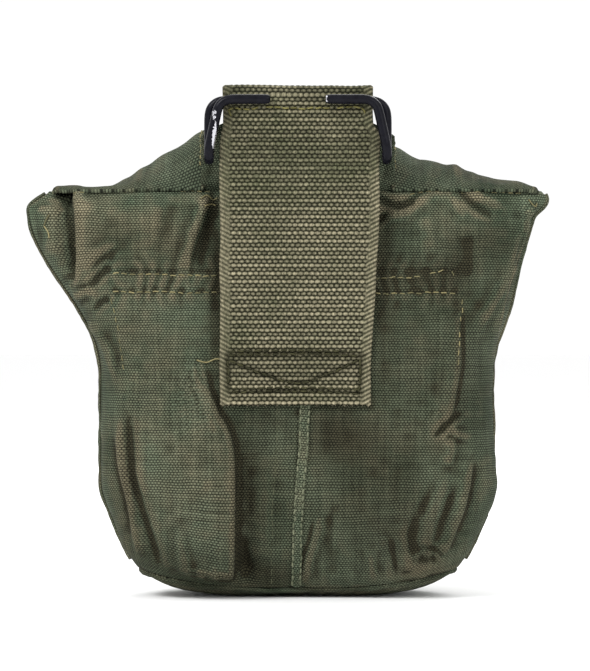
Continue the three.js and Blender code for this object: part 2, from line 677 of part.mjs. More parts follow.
// The cap's heights are from its rim.
function addCap() {
  const cap = new THREE.Group();
  cap.position.z = CAP_RIM;
  canteen.add(cap);

  const bore = NECK_RADIUS + THREAD_RADIUS + 3 * GAP;
  const ceiling = NECK_TOP - CAP_RIM + GASKET + 2 * GAP;
  const top = ceiling + CAP_CROWN;
  const radius = bore + CAP_WALL;

  const outline = steps(0, 2 * Math.PI, 4 * CAP_RIBS).slice(1).map((angle, i) => {
    return new THREE.Vector2(...circle(radius - (i % 4 === 0 ? CAP_RIB_DEPTH : 0), angle));
  });
  const skirtDepth = top - CAP_WALL;
  const skirt = new THREE.ExtrudeGeometry(new THREE.Shape(outline), {
    depth: skirtDepth,
    bevelEnabled: false,
  });
  const crown = lathed([
    [0, skirtDepth - GAP],
    [radius - CAP_RIB_DEPTH - GAP, skirtDepth - GAP],
    [radius - 1.8, top - 1.3],
    [radius - 4, top - 0.3],
    [0, top],
  ], 28);
  const shell = cut(join(skirt, crown), disc(bore, -1, ceiling, 40));
  const stemRoom = disc(SWIVEL_STEM_RADIUS + GAP, ceiling - 1, top + 1);
  const headRoom = disc(SWIVEL_HEAD_RADIUS + GAP, ceiling - 1, ceiling + 1.6);
  add("cap_shell", cut(shell, join(stemRoom, headRoom)), CAP_PAINT, cap);

  const gasketTop = ceiling - GAP;
  add("cap_gasket", disc(bore - GAP, gasketTop - GASKET, gasketTop, 28), GASKET_PAINT, cap);

  const swivel = lathed([
    [0, ceiling + GAP],
    [SWIVEL_HEAD_RADIUS, ceiling + GAP],
    [SWIVEL_HEAD_RADIUS, ceiling + 1.3],
    [SWIVEL_STEM_RADIUS, ceiling + 1.3],
    [SWIVEL_STEM_RADIUS, top + GAP],
    [2.4, top + 0.6],
    [1.6, top + 1.6],
    [0, top + 1.6],
  ], 14);
  const eye = torus(SWIVEL_EYE_RADIUS, SWIVEL_WIRE, 14).rotateX(Math.PI / 2);
  eye.translate(0, 0, top + 1.2 + SWIVEL_EYE_RADIUS);
  add("chain_swivel", join(swivel, eye), CHAIN_PAINT, cap);
}

// The chain hangs from the swivel over the cap's front edge, and loops back up to the collar's
// eye. The route's heights are from the neck's foot.
function addChain() {
  const route = [
    [2.2, 3.2, 31.2],
    [3.6, 8.5, 31],
    [6, 15, 30.3],
    [8.2, 20.4, 28],
    [9.6, 23.2, 22],
    [10.4, 23.8, 15],
    [10.6, 24.2, 8],
    [9.4, 24.6, 3],
    [6.6, 24.9, 0.6],
    [3.6, 25, 0.8],
    [1.6, 24.6, 2.6],
  ];
  const chain = tubeAlong(route, CHAIN_RADIUS, 8, 28).translate(0, 0, NECK_FOOT);
  add("cap_chain", chain, CHAIN_PAINT);
}

addBack();
addFront();
addBottomAndFelt();
addTab();
addStrap();
addHook();
snaps.forEach(addFlap);
snaps.forEach(addSnap);
addBottle();
addCollar();
addCap();
addChain();

export default canteen;
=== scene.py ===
import math

import bmesh
import bpy
import numpy as np
from mathutils import Matrix, Vector
from mathutils.bvhtree import BVHTree


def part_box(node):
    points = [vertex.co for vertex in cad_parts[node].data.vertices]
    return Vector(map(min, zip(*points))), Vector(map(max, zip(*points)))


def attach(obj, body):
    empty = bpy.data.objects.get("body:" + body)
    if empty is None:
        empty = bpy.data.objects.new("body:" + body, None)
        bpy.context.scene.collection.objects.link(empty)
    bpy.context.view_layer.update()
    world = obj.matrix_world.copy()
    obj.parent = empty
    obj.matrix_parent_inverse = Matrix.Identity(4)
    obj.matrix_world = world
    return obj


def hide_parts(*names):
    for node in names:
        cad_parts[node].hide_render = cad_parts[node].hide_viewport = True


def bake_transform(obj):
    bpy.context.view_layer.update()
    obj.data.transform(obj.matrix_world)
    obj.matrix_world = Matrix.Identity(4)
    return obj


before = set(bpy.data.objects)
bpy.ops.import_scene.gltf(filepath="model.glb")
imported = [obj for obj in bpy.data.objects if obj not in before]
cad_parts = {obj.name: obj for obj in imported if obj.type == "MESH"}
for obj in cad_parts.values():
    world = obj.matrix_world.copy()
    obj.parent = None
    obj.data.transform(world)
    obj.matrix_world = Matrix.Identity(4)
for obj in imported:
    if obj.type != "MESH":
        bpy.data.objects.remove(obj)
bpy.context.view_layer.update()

# ---- The back of the cover ----
# Two halves of green cotton duck, cut and sewn together down the middle, washed soft and faded.
# The cloth hangs in folds over the felt and the bottle, and gathers where it meets the bottom.

CANVAS = 1.0        # how thick the cloth is; the sizes in the sections are in mm
BELLY = 46          # the height where the bottom has rounded out to the sides
HEM_TOP = 154.8     # the height of the panels' top edge


def ease(start, end, at):
    share = np.clip((at - start) / (end - start), 0, 1)
    return share * share * (3 - 2 * share)


def rounding(z):
    """How far the sides have rounded out above the bottom, from 0 to 1."""
    return np.sqrt(1 - (1 - np.minimum(1, z / BELLY)) ** 2)


def half_width(z, side):
    """The cover's half width in mm at a height, on the left (-1) or the right (1)."""
    width = 44 + 31.5 * rounding(z) + 21.5 * ease(85, 150, z) - 2.6 * ease(0, 6, z) * (1 - ease(24, 44, z))
    left = 5.8 * ease(95, 145, z) - 8.5 * ease(148, 156, z)
    right = -7.2 * ease(98, 138, z) + 5.2 * ease(144, 152, z) - 2.6 * ease(152, 156, z)
    right = right - 1.0 * ease(30, 60, z) * (1 - ease(95, 110, z))
    return width + np.where(side < 0, left, right)


def cover_at(z, angle, outset=0.0):
    """The cover's outside at a height and an angle round it: 0 is the right seam, -90 degrees the back."""
    cos, sin = np.cos(angle), np.sin(angle)
    lens = ease(95, 155, z)
    depth = 20 + 21 * rounding(z) - 13 * lens
    power = 2.5 - 0.9 * lens
    x = (half_width(z, cos) + outset) * np.sign(cos) * np.abs(cos) ** (2 / power)
    y = (depth + outset) * np.sign(sin) * np.abs(sin) ** (2 / power)
    return np.stack([x, y - 0.006 * x * x / (1 + (x / 80) ** 2) - 4 * lens, z + 0 * x], -1)


def hem_height(x):
    """How high the panels' lower edge is; it climbs towards the sides."""
    return 3.6 + 10.5 * (np.abs(x) / 66) ** 3


def run_of(line):
    """The distance along a line at each of its points."""
    return np.concatenate([[0], np.cumsum(np.linalg.norm(np.diff(line, axis=0), axis=1))])


def at_run(wanted, run, line):
    """The points of a line at some distances along it."""
    return np.stack([np.interp(wanted, run, line[:, k]) for k in range(line.shape[1])], -1)


def panel_grid(first, last, rows, columns, top=HEM_TOP, outset=0.0, low=None, dip=None):
    """Points on the cover between two angles, evenly spaced along each row, from the hem to the top.
    low is a lower edge that isn't the hem, and dip is how far the top edge dips at x."""
    angles = np.linspace(first, last, 500)
    grid = np.zeros((rows, columns, 3))
    for i, share in enumerate(np.linspace(0, 1, rows)):
        x_guess = cover_at(8.0, angles)[:, 0]
        crest = top - (dip(cover_at(150.0, angles)[:, 0]) if dip else 0)
        if low is None:
            foot = hem_height(x_guess)
            turned = np.arccos(np.clip(1 - foot / BELLY, 0, 1))
            round_part = BELLY * (1 - np.cos(turned + (np.pi / 2 - turned) * np.minimum(1, share / 0.3)))
            z = np.where(share < 0.3, round_part, BELLY + (crest - BELLY) * (share - 0.3) / 0.7)
        else:
            foot = np.maximum(low, hem_height(x_guess) + 3.5)
            z = foot + (crest - foot) * share
        line = cover_at(z, angles, outset)
        run = run_of(line)
        grid[i] = at_run(np.linspace(0, run[-1], columns), run, line)
    return grid


def smooth_line(points, count=60):
    """A smooth curve through a few points."""
    p = np.array(points, float)
    p = np.vstack([2 * p[0] - p[1], p, 2 * p[-1] - p[-2]])
    spans = len(p) - 3
    out = []
    for t in np.linspace(0, spans, count):
        i = min(int(t), spans - 1)
        u = t - i
        a, b, c, d = p[i:i + 4]
        out.append(0.5 * (2 * b + (c - a) * u + (2 * a - 5 * b + 4 * c - d) * u * u
                          + (3 * b - a - 3 * c + d) * u ** 3))
    return np.array(out)


def fold(x, z, points, height, minus, plus, start=0.25, end=0.25):
    """A ridge of cloth, or a furrow, along a line of (x, z) points drawn downwards or to the right.
    minus and plus are its widths to the left of or below the line, and to the right of or above it."""
    line = smooth_line(points, 50)
    reach = 3 * max(minus, plus)
    near = (x > line[:, 0].min() - reach) & (x < line[:, 0].max() + reach)
    near &= (z > line[:, 1].min() - reach) & (z < line[:, 1].max() + reach)
    lift = np.zeros_like(x)
    if not near.any():
        return lift
    px, pz = x[near][:, None], z[near][:, None]
    gap = (px - line[:, 0]) ** 2 + (pz - line[:, 1]) ** 2
    best = gap.argmin(1)
    way = np.gradient(line, axis=0)[best]
    way /= np.linalg.norm(way, axis=1)[:, None]
    off = np.stack([px[:, 0] - line[best, 0], pz[:, 0] - line[best, 1]], 1)
    across = way[:, 0] * off[:, 1] - way[:, 1] * off[:, 0]
    past = np.abs(way[:, 0] * off[:, 0] + way[:, 1] * off[:, 1])
    width = np.where(across > 0, plus, minus)
    share = best / (len(line) - 1)
    taper = (ease(0, start, share) if start else 1) * (1 - ease(1 - end, 1, share) if end else 1)
    lift[near] = height * taper * np.exp(-(across / width) ** 2 - (past / 5) ** 2)
    return lift


def lumps(x, z, size, seed):
    """Soft random lumps of a size, from -1 to 1."""
    table = np.random.default_rng(seed).uniform(-1, 1, (64, 64))
    u, v = x / size + 31.7, z / size + 17.3
    i, j = np.floor(u).astype(int), np.floor(v).astype(int)
    fu, fv = u - i, v - j
    fu, fv = fu * fu * (3 - 2 * fu), fv * fv * (3 - 2 * fv)

    def across(b):
        return table[i % 64, (j + b) % 64] * (1 - fu) + table[(i + 1) % 64, (j + b) % 64] * fu

    return across(0) * (1 - fv) + across(1) * fv


def seam_line(z):
    """Where the middle seam runs, left to right, at a height."""
    return 2.7 - 3.4 * ease(74, 8, z)


# each fold: its line of (x, z), its height, its widths to the left and the right, and how much of
# its length it takes to rise at the start and to fall away at the end
BACK_FOLDS = [
    # the big pleat left of the middle: broad on its left, and falling straight down on its right
    ([(-38, 98), (-35, 82), (-31, 71), (-26.6, 62), (-24.8, 48), (-25, 24), (-25.5, 6)], 6.6, 15, 1.2, 0.45,
     0.06),
    ([(-22, 70), (-21.5, 45), (-21, 20), (-20.5, 4)], -2.2, 2.5, 7, 0.3, 0.0),
    ([(-40, 92), (-37, 80), (-34, 70), (-31, 60)], 0.9, 1.6, 1.0, 0.3, 0.4),
    ([(-36.5, 84), (-33.5, 74), (-30, 65)], 0.8, 1.2, 0.8, 0.3, 0.4),
    ([(-21, 26), (-20, 14), (-19, 5)], -3.2, 2.2, 3.0, 0.5, 0.0),
    # narrow folds down the left side
    ([(-64.5, 74), (-64, 62), (-62.6, 46), (-59.5, 36), (-55, 22), (-51, 9)], -2.3, 1.8, 2.8, 0.25, 0.15),
    ([(-61.5, 78), (-60.5, 62), (-59, 46), (-56, 34), (-51, 20), (-47, 9)], 1.5, 2.6, 6.0, 0.3, 0.1),
    ([(-67.4, 72), (-67, 58), (-65.8, 44), (-62.5, 30), (-58.5, 16)], 1.5, 2.0, 1.8, 0.25, 0.1),
    ([(-71, 66), (-70.4, 54), (-68, 42), (-65.6, 31), (-63.5, 20)], -1.9, 2.6, 1.8, 0.25, 0.2),
    ([(-46, 30), (-43, 18), (-41, 8)], 1.3, 3.0, 2.0, 0.5, 0.0),
    ([(-38, 16), (-36.5, 10), (-36, 5)], 1.2, 2.0, 1.2, 0.5, 0.0),
    ([(-32.5, 18), (-31, 10), (-30.5, 5)], 1.1, 1.6, 1.0, 0.5, 0.0),
    # the left ear: a deep crease, the edge of the panel standing up beside it
    ([(-88, 157), (-87, 149), (-86, 139), (-86, 127), (-87, 116)], -5.2, 3.8, 1.6, 0.12, 0.25),
    ([(-83.5, 156), (-82.6, 147), (-81.6, 137), (-81.8, 126), (-84, 115)], 2.6, 2.6, 6.0, 0.0, 0.3),
    ([(-95, 150), (-94, 140), (-91, 128)], 2.0, 4.0, 3.5, 0.1, 0.3),
    ([(-80, 123), (-77, 128.5), (-72, 132.5), (-66, 135)], 1.5, 1.5, 3.5, 0.3, 0.4),
    ([(-79, 118), (-74, 123), (-70, 126.5)], -1.6, 1.6, 1.6, 0.3, 0.3),
    ([(-86, 114), (-80, 116.5), (-74, 115.5)], 1.4, 2.2, 1.3, 0.2, 0.4),
    ([(-78, 109), (-73, 113), (-70, 112)], -1.3, 1.5, 1.5, 0.3, 0.4),
    ([(-82, 108), (-76, 100), (-71, 88), (-69, 76)], 1.6, 2.2, 3.5, 0.3, 0.4),
    ([(-75, 104), (-70, 94), (-67.5, 82)], -1.2, 1.6, 2.6, 0.3, 0.4),
    # the shoulder beside the strap on the left
    ([(-33.8, 156), (-36, 147), (-39.5, 137), (-41.8, 126), (-42, 112)], 2.6, 3.2, 1.5, 0.15, 0.4),
    ([(-31.2, 153), (-33.4, 142), (-36, 130), (-37.5, 118)], -1.6, 1.8, 3.0, 0.2, 0.4),
    ([(-46, 152), (-49, 143), (-50, 132)], -0.9, 3.0, 3.0, 0.3, 0.4),
    ([(-60, 150), (-58, 138), (-60, 127)], 0.8, 5.0, 5.0, 0.3, 0.4),
    # the shoulder on the right: ruffles under the seam
    ([(31, 152), (36, 149.4), (42, 149.8), (46, 152)], -2.4, 1.8, 2.0, 0.0, 0.3),
    ([(32, 147.6), (38, 146.2), (43, 148.4), (47.5, 152), (53, 154.8), (60, 155.4)], 2.2, 3.4, 1.4, 0.1, 0.2),
    ([(30, 143.5), (33.5, 146), (36, 147)], -1.5, 2.0, 1.0, 0.0, 0.4),
    ([(61.5, 156), (64, 151.4), (69, 147.4), (75, 144.5)], -2.4, 1.2, 1.4, 0.05, 0.4),
    ([(62.5, 156.5), (67, 153), (73, 150), (80, 148)], 2.0, 1.2, 3.0, 0.1, 0.4),
    ([(56, 156), (60, 150), (64, 143)], 1.0, 2.5, 1.5, 0.2, 0.4),
    ([(47, 148), (49, 138), (48, 128)], 0.9, 4.0, 3.0, 0.3, 0.4),
    ([(64, 141), (64.5, 130), (63.5, 118)], -1.5, 4.0, 3.2, 0.3, 0.4),
    # the right side: the panel's edge stands up in a long line
    ([(90.5, 150), (87, 140), (83, 129), (79.4, 118), (77, 107), (75, 96)], 1.9, 4.5, 0.8, 0.1, 0.25),
    ([(79, 124), (74.5, 114), (69.5, 105), (66, 96)], 1.5, 3.0, 2.2, 0.3, 0.4),
    ([(86, 141), (83.5, 132), (81.5, 124)], -1.2, 1.2, 2.0, 0.3, 0.3),
    ([(61.2, 112), (60, 101), (59.6, 88), (57.8, 76), (55.6, 65)], 1.7, 5.5, 0.9, 0.3, 0.15),
    ([(55.4, 66), (58.5, 69), (63, 71)], -1.3, 1.4, 1.4, 0.0, 0.5),
    ([(55.2, 64.5), (60, 62.5), (66, 60.5)], 1.0, 1.3, 1.6, 0.1, 0.5),
    ([(57, 62), (57.4, 56), (56, 49.5)], 0.9, 2.8, 1.4, 0.2, 0.3),
    ([(65, 57), (63.8, 47), (61.4, 35), (57.5, 25), (54, 17)], 1.9, 3.8, 1.3, 0.3, 0.1),
    ([(66.8, 54), (65.4, 44), (63, 34), (59.5, 24)], -1.1, 1.6, 2.4, 0.3, 0.15),
    ([(57.5, 50), (53.5, 40), (50, 30), (48.5, 19)], 1.3, 3.2, 3.0, 0.3, 0.1),
    ([(60, 46), (56.5, 36), (53, 26), (50.5, 17)], -0.9, 2.2, 2.2, 0.3, 0.1),
    ([(52, 46), (47, 35), (43.5, 25), (44, 16)], -1.2, 3.2, 2.8, 0.3, 0.1),
    ([(43, 34), (40.2, 25), (41.5, 16), (43, 11)], 1.3, 2.8, 1.6, 0.3, 0.05),
    ([(45, 15.5), (49, 14.6), (53, 16)], -0.9, 1.8, 2.2, 0.2, 0.2),
    ([(34, 26), (36, 17), (37, 9)], -0.9, 2.0, 1.5, 0.4, 0.0),
    ([(27, 20), (28, 12), (29, 6)], 0.9, 1.8, 1.8, 0.4, 0.0),
    # beside the middle seam, low down
    ([(8.5, 34), (6.6, 24), (3.8, 14), (2.6, 6)], 1.9, 1.2, 2.6, 0.3, 0.0),
    ([(14, 40), (12, 26), (11.5, 12)], -0.9, 2.6, 3.0, 0.4, 0.0),
    ([(-12, 60), (-13, 40), (-12.5, 18)], 0.6, 3.0, 3.0, 0.4, 0.2),
]


def back_lift(x, z):
    """How far the back's cloth stands off its smooth shape, in mm."""
    lift = sum(fold(x, z, *line) for line in BACK_FOLDS)
    lift += 1.3 * lumps(x, z, 24, 1) + 0.55 * lumps(x, z * 0.7, 10, 2) + 0.22 * lumps(x, z, 4.5, 3)
    # gathers where the panel is eased on to the bottom
    foot = z - hem_height(x)
    gathers = np.sin(x * 0.72 + 2.2 * lumps(x, 0 * z, 14, 4)) * (0.6 + 0.4 * lumps(x, z, 12, 5))
    lift += 0.8 * np.exp(-foot / 7) * gathers
    lift *= ease(0, 7, foot)
    # small puckers along the two rows of stitches that hold the patch inside
    sewn_width = ease(-73, -69, x) * (1 - ease(58, 62, x))
    for row in (124.0, 116.6):
        lift -= 0.5 * np.exp(-((z - row) / 1.1) ** 2) * sewn_width
        lift += 0.22 * np.exp(-((z - row) / 5) ** 2) * sewn_width * np.sin(x * 1.1 + 3 * lumps(x, z, 9, 6))
    # the top edge lies close to the seam
    lift *= 1 - 0.6 * ease(149, 154.5, z) * ease(-84, -80, x) * (1 - ease(74, 80, x))
    # pulled flat under the strap, and pinched at the middle seam
    lift *= 1 - 0.8 * (1 - ease(27, 31, np.abs(x))) * ease(68, 74, z) * (1 - ease(148, 154, z))
    lift -= 0.8 * np.exp(-((x - seam_line(z)) / 3.4) ** 2) * (1 - ease(70, 74, z))
    return lift


def across_grid(grid, wrap=False):
    """Outward directions of a grid of points."""
    if wrap:
        du = np.roll(grid, -1, 1) - np.roll(grid, 1, 1)
    else:
        du = np.gradient(grid, axis=1)
    dv = np.gradient(grid, axis=0)
    n = np.cross(du, dv)
    return n / np.maximum(1e-9, np.linalg.norm(n, axis=2))[..., None]


def set_numbers(obj, name, values):
    """Stores one number for each corner of a piece, for its finish to read."""
    layer = obj.data.attributes.new(name, "FLOAT", "POINT")
    layer.data.foreach_set("value", np.asarray(values, np.float32).ravel())


def piece_from(name, corners, faces):
    """A smooth-shaded piece from its corners in mm and its faces."""
    mesh = bpy.data.meshes.new(name)
    mesh.from_pydata((corners * 0.001).tolist(), [], faces)
    mesh.polygons.foreach_set("use_smooth", [True] * len(mesh.polygons))
    obj = bpy.data.objects.new(name, mesh)
    bpy.context.scene.collection.objects.link(obj)
    return obj


def set_weave(obj, flat):
    """Stores each corner's place on the flat cloth, in m, as the piece's UV map."""
    mesh = obj.data
    layer = mesh.uv_layers.new(name="weave")
    loops = np.zeros(len(mesh.loops), np.int32)
    mesh.loops.foreach_get("vertex_index", loops)
    layer.data.foreach_set("uv", flat[loops].astype(np.float32).ravel())


def cloth(name, grid, thickness, weave, out, wrap=False, wear_and_highlight=None, soil_and_shade=None):
    """A sheet of cloth with both its faces and its edges, from a grid of points in mm. weave holds
    each point's place on the flat cloth in m, and out is a point on the cloth's outer side."""
    rows, columns = grid.shape[:2]
    normal = across_grid(grid, wrap)
    middle = grid[rows // 2, columns // 2]
    flip = np.dot(normal[rows // 2, columns // 2], np.array(out) - middle) < 0
    if flip:
        normal = -normal
    corners = np.concatenate([grid.reshape(-1, 3), (grid - thickness * normal).reshape(-1, 3)])
    index = np.arange(rows * columns).reshape(rows, columns)
    if wrap:
        index = np.hstack([index, index[:, :1]])
    a, b, c, d = index[:-1, :-1], index[:-1, 1:], index[1:, 1:], index[1:, :-1]
    outer = np.stack([a, b, c, d], -1).reshape(-1, 4)
    if flip:
        outer = outer[:, ::-1]
    inner = outer[:, ::-1] + rows * columns
    rims = []

    def rim(line, turned):
        q = np.stack([line[:-1], line[:-1] + rows * columns, line[1:] + rows * columns, line[1:]], -1)
        rims.append(q[:, ::-1] if turned else q)

    rim(index[0], flip)
    rim(index[-1], not flip)
    if not wrap:
        rim(index[:, 0], not flip)
        rim(index[:, -1], flip)
    obj = piece_from(name, corners, np.concatenate([outer, inner] + rims).tolist())
    set_weave(obj, np.concatenate([weave.reshape(-1, 2)] * 2))
    none = np.zeros(rows * columns)
    for key, values in (("wear_and_highlight", wear_and_highlight), ("soil_and_shade", soil_and_shade)):
        values = none if values is None else np.asarray(values).ravel()
        set_numbers(obj, key, np.concatenate([values, values]))
    return obj


def flat_place(grid, from_middle=False):
    """Each point's distance along its row and up its column, in m: the cloth laid flat."""
    du = np.linalg.norm(np.diff(grid, axis=1), axis=2)
    dv = np.linalg.norm(np.diff(grid, axis=0), axis=2)
    u = np.concatenate([np.zeros((grid.shape[0], 1)), np.cumsum(du, 1)], 1)
    v = np.concatenate([np.zeros((1, grid.shape[1])), np.cumsum(dv, 0)], 0)
    if from_middle:
        u -= u[:, -1:] / 2
    return np.stack([u, v.mean(1, keepdims=True) + 0 * v], -1) * 0.001


def maths(tree, operation, *values, clamp=False):
    """A sum on numbers or other nodes' outputs."""
    node = tree.nodes.new("ShaderNodeMath")
    node.operation, node.use_clamp = operation, clamp
    for socket, value in zip(node.inputs, values):
        if isinstance(value, bpy.types.NodeSocket):
            tree.links.new(value, socket)
        else:
            socket.default_value = value
    return node.outputs[0]


def add(tree, first, second, clamp=False):
    return maths(tree, "ADD", first, second, clamp=clamp)


def times(tree, first, second, clamp=False):
    return maths(tree, "MULTIPLY", first, second, clamp=clamp)


def swing(tree, value, middle, gain):
    """How far a value is from its middle, enlarged."""
    return times(tree, maths(tree, "SUBTRACT", value, middle), gain)


def mixed(tree, share, first, second, kind="MIX"):
    """A colour between two others, or their product."""
    node = tree.nodes.new("ShaderNodeMix")
    node.data_type, node.blend_type = "RGBA", kind
    for socket, value in zip((node.inputs[0], node.inputs[6], node.inputs[7]), (share, first, second)):
        if isinstance(value, bpy.types.NodeSocket):
            tree.links.new(value, socket)
        elif isinstance(value, tuple):
            socket.default_value = (*value, 1)
        else:
            socket.default_value = value
    return node.outputs[2]


def noise(tree, where, scale, detail=3.0, rough=0.55):
    node = tree.nodes.new("ShaderNodeTexNoise")
    node.inputs["Scale"].default_value = scale
    node.inputs["Detail"].default_value = detail
    node.inputs["Roughness"].default_value = rough
    tree.links.new(where, node.inputs["Vector"])
    return node.outputs[0]


def spread(tree, value, low, high, to_low=0.0, to_high=1.0):
    """A value's range stretched to another range."""
    node = tree.nodes.new("ShaderNodeMapRange")
    tree.links.new(value, node.inputs[0])
    for i, number in enumerate((low, high, to_low, to_high)):
        node.inputs[i + 1].default_value = number
    return node.outputs[0]


def attribute(tree, name):
    node = tree.nodes.new("ShaderNodeAttribute")
    node.attribute_name = name
    return node.outputs["Fac"]


def object_place(tree):
    return tree.nodes.new("ShaderNodeTexCoord").outputs["Object"]


def weave_place(tree):
    node = tree.nodes.new("ShaderNodeUVMap")
    node.uv_map = "weave"
    return node.outputs[0]


def mapped(tree, place, scale=(1, 1, 1), turn=0.0):
    """A place stretched, or turned about the cloth's normal."""
    node = tree.nodes.new("ShaderNodeMapping")
    node.inputs["Scale"].default_value = scale
    node.inputs["Rotation"].default_value[2] = turn
    tree.links.new(place, node.inputs[0])
    return node.outputs[0]


def bumped(tree, shader, height, distance, strength=1.0):
    """Fine relief on a finish, from a height."""
    bump = tree.nodes.new("ShaderNodeBump")
    bump.inputs["Strength"].default_value = strength
    bump.inputs["Distance"].default_value = distance
    tree.links.new(height, bump.inputs["Height"])
    tree.links.new(bump.outputs[0], shader.inputs["Normal"])


def start_finish(name, roughness, metallic=0.0, specular=0.5):
    material = bpy.data.materials.new(name)
    material.use_nodes = True
    shader = material.node_tree.nodes["Principled BSDF"]
    shader.inputs["Roughness"].default_value = roughness
    shader.inputs["Metallic"].default_value = metallic
    shader.inputs["Specular IOR Level"].default_value = specular
    return material, material.node_tree, shader


def canvas_finish(name, pitch, shade_factor=1.0, turn=0.0):
    """Faded green duck: a plain weave of slubby threads, with painted highlight on the knots and painted
    shade in their gaps; bleached tan where abraded and as painted highlight on ridges, dull brown where dirty
    and as painted shade in folds and shadows.
    pitch is the spacing of its threads in m."""
    material, tree, shader = start_finish(name, 0.92, specular=0.12)
    flat, where = weave_place(tree), object_place(tree)
    turned = mapped(tree, flat, turn=turn)
    split = tree.nodes.new("ShaderNodeSeparateXYZ")
    tree.links.new(turned, split.inputs[0])
    # the threads: rows of small rounded knots, each row shifted by half a knot
    sway = swing(tree, noise(tree, turned, 160, 2.0, 0.5), 0.5, 0.9)
    along = add(tree, times(tree, split.outputs[0], 0.85 / pitch), sway)
    v = add(tree, times(tree, split.outputs[1], 1.1 / pitch), sway)
    u = add(tree, along, times(tree, maths(tree, "FLOOR", v), 0.5))
    up, over = (maths(tree, "ABSOLUTE", maths(tree, "SINE", times(tree, at, math.pi))) for at in (u, v))
    knot = times(tree, maths(tree, "POWER", up, 0.7), maths(tree, "POWER", over, 0.9))
    weft, warp = (noise(tree, mapped(tree, turned, scale), 1.0, 2) for scale in ((40, 900, 1), (900, 40, 1)))
    fleck = noise(tree, flat, 1500, 2, 0.7)
    cloud, blotch = noise(tree, where, 34, 4, 0.6), noise(tree, where, 95, 4, 0.65)
    # the colour: green, bleached tan where abraded and where painted highlight is given, dull brown where
    # dirty and where painted shade is given
    deep, pale = (tuple(shade_factor * c for c in green) for green in ((0.058, 0.081, 0.049), (0.137, 0.166, 0.108)))
    tan = (0.205 * shade_factor, 0.178 * shade_factor, 0.112 * shade_factor)
    green = mixed(tree, spread(tree, cloud, 0.36, 0.66), deep, pale)
    fade = add(tree, attribute(tree, "wear_and_highlight"), swing(tree, blotch, 0.52, 1.5), clamp=True)
    base = mixed(tree, times(tree, fade, 0.85), green, tan)
    dull = mixed(tree, times(tree, attribute(tree, "soil_and_shade"), 0.85, clamp=True), base, (0.034, 0.032, 0.018))
    # the knots' height also sets the brightness: painted highlight on their tops and painted shade in the
    # gaps between them
    slubby = add(tree, knot, swing(tree, add(tree, weft, warp), 1.0, 0.55))
    bright = spread(tree, slubby, 0.05, 1.05, 0.14, 1.62)
    knot_light_and_shade = times(tree, bright, spread(tree, fleck, 0.3, 0.7, 0.72, 1.28))
    shade = tree.nodes.new("ShaderNodeCombineColor")
    for socket in shade.inputs[:3]:
        tree.links.new(knot_light_and_shade, socket)
    tree.links.new(mixed(tree, 1.0, dull, shade.outputs[0], "MULTIPLY"), shader.inputs["Base Color"])
    tree.links.new(spread(tree, fleck, 0.3, 0.7, 0.85, 0.99), shader.inputs["Roughness"])
    bumped(tree, shader, add(tree, knot, times(tree, fleck, 0.5)), 0.0004, 0.85)
    return material


canvas_green = canvas_finish("faded_canvas", 0.00102)

RIGHT_SEAM, MIDDLE_BACK, LEFT_SEAM = 0.0, -math.pi / 2, -math.pi


def ridge_wear_and_shade(x, z, lift, seed):
    """Lighter tan on the ridges, partly from abrasion and partly painted highlight, with random fading;
    darker in the valleys between the folds, painted shade.
    """
    broad = lift - 0.5 * (np.roll(lift, 3, 0) + np.roll(lift, -3, 0))
    side = lift - 0.5 * (np.roll(lift, 3, 1) + np.roll(lift, -3, 1))
    ridge = np.clip((broad + side) * 1.6, -1, 1)
    wear_and_highlight = np.clip(ridge, 0, 1) * 0.7 + 0.16 * lumps(x, z, 13, seed)
    soil_and_shade = np.clip(-ridge, 0, 1) * 0.75
    return wear_and_highlight, soil_and_shade


def spot(x, z, at_x, at_z, wide, tall, strength):
    """A soft spot round a place, for abrasion and dirt, and for painted highlight and painted shade."""
    return strength * np.exp(-((x - at_x) / wide) ** 2 - ((z - at_z) / tall) ** 2)


# spots of abrasion and of dirt on the back, with painted highlights on a lit ridge, on the panel's left edge
# and left of the pleat, and painted shadows beside the strap and right of the pleat: x, z, width, height and
# strength
WORN_AND_LIT_SPOTS = [
    (-62, 142, 16, 9, 0.75), (-80, 128, 6, 14, 0.7), (-38, 50, 9, 22, 0.38), (-66, 40, 5, 18, 0.5),
    (-60, 100, 10, 22, 0.4), (-34, 150, 4, 3, 0.8), (40, 150, 8, 3, 0.8), (66, 153, 5, 3, 1.0),
    (52, 143, 12, 5, 0.3), (48, 11, 12, 5, 0.8), (24, 60, 20, 14, 0.3), (80, 121, 4, 10, 0.4),
    (-45, 128, 6, 16, 0.22), (55, 60, 4, 16, 0.3), (78, 96, 5, 22, 0.3), (-30, 40, 9, 30, 0.25),
    (-84, 146, 9, 10, 0.3), (-56, 70, 12, 26, 0.3),
]
SOILED_AND_SHADED_SPOTS = [
    (15, 62, 12, 10, 0.45), (30, 40, 22, 22, 0.35), (46, 122, 10, 6, 0.5), (60, 128, 7, 12, 0.45),
    (72, 135, 8, 10, 0.35), (-12, 8, 16, 6, 0.5), (-31.5, 118, 3, 34, 0.5), (33.5, 118, 4, 34, 0.4),
    (-17, 40, 6, 30, 0.3), (-66, 30, 8, 24, 0.25), (62, 96, 9, 30, 0.22), (40, 22, 22, 12, 0.22),
    (44, 92, 22, 44, 0.26), (-20, 30, 20, 26, 0.12), (-50, 14, 16, 9, 0.35), (42, 62, 4, 26, 0.15),
]

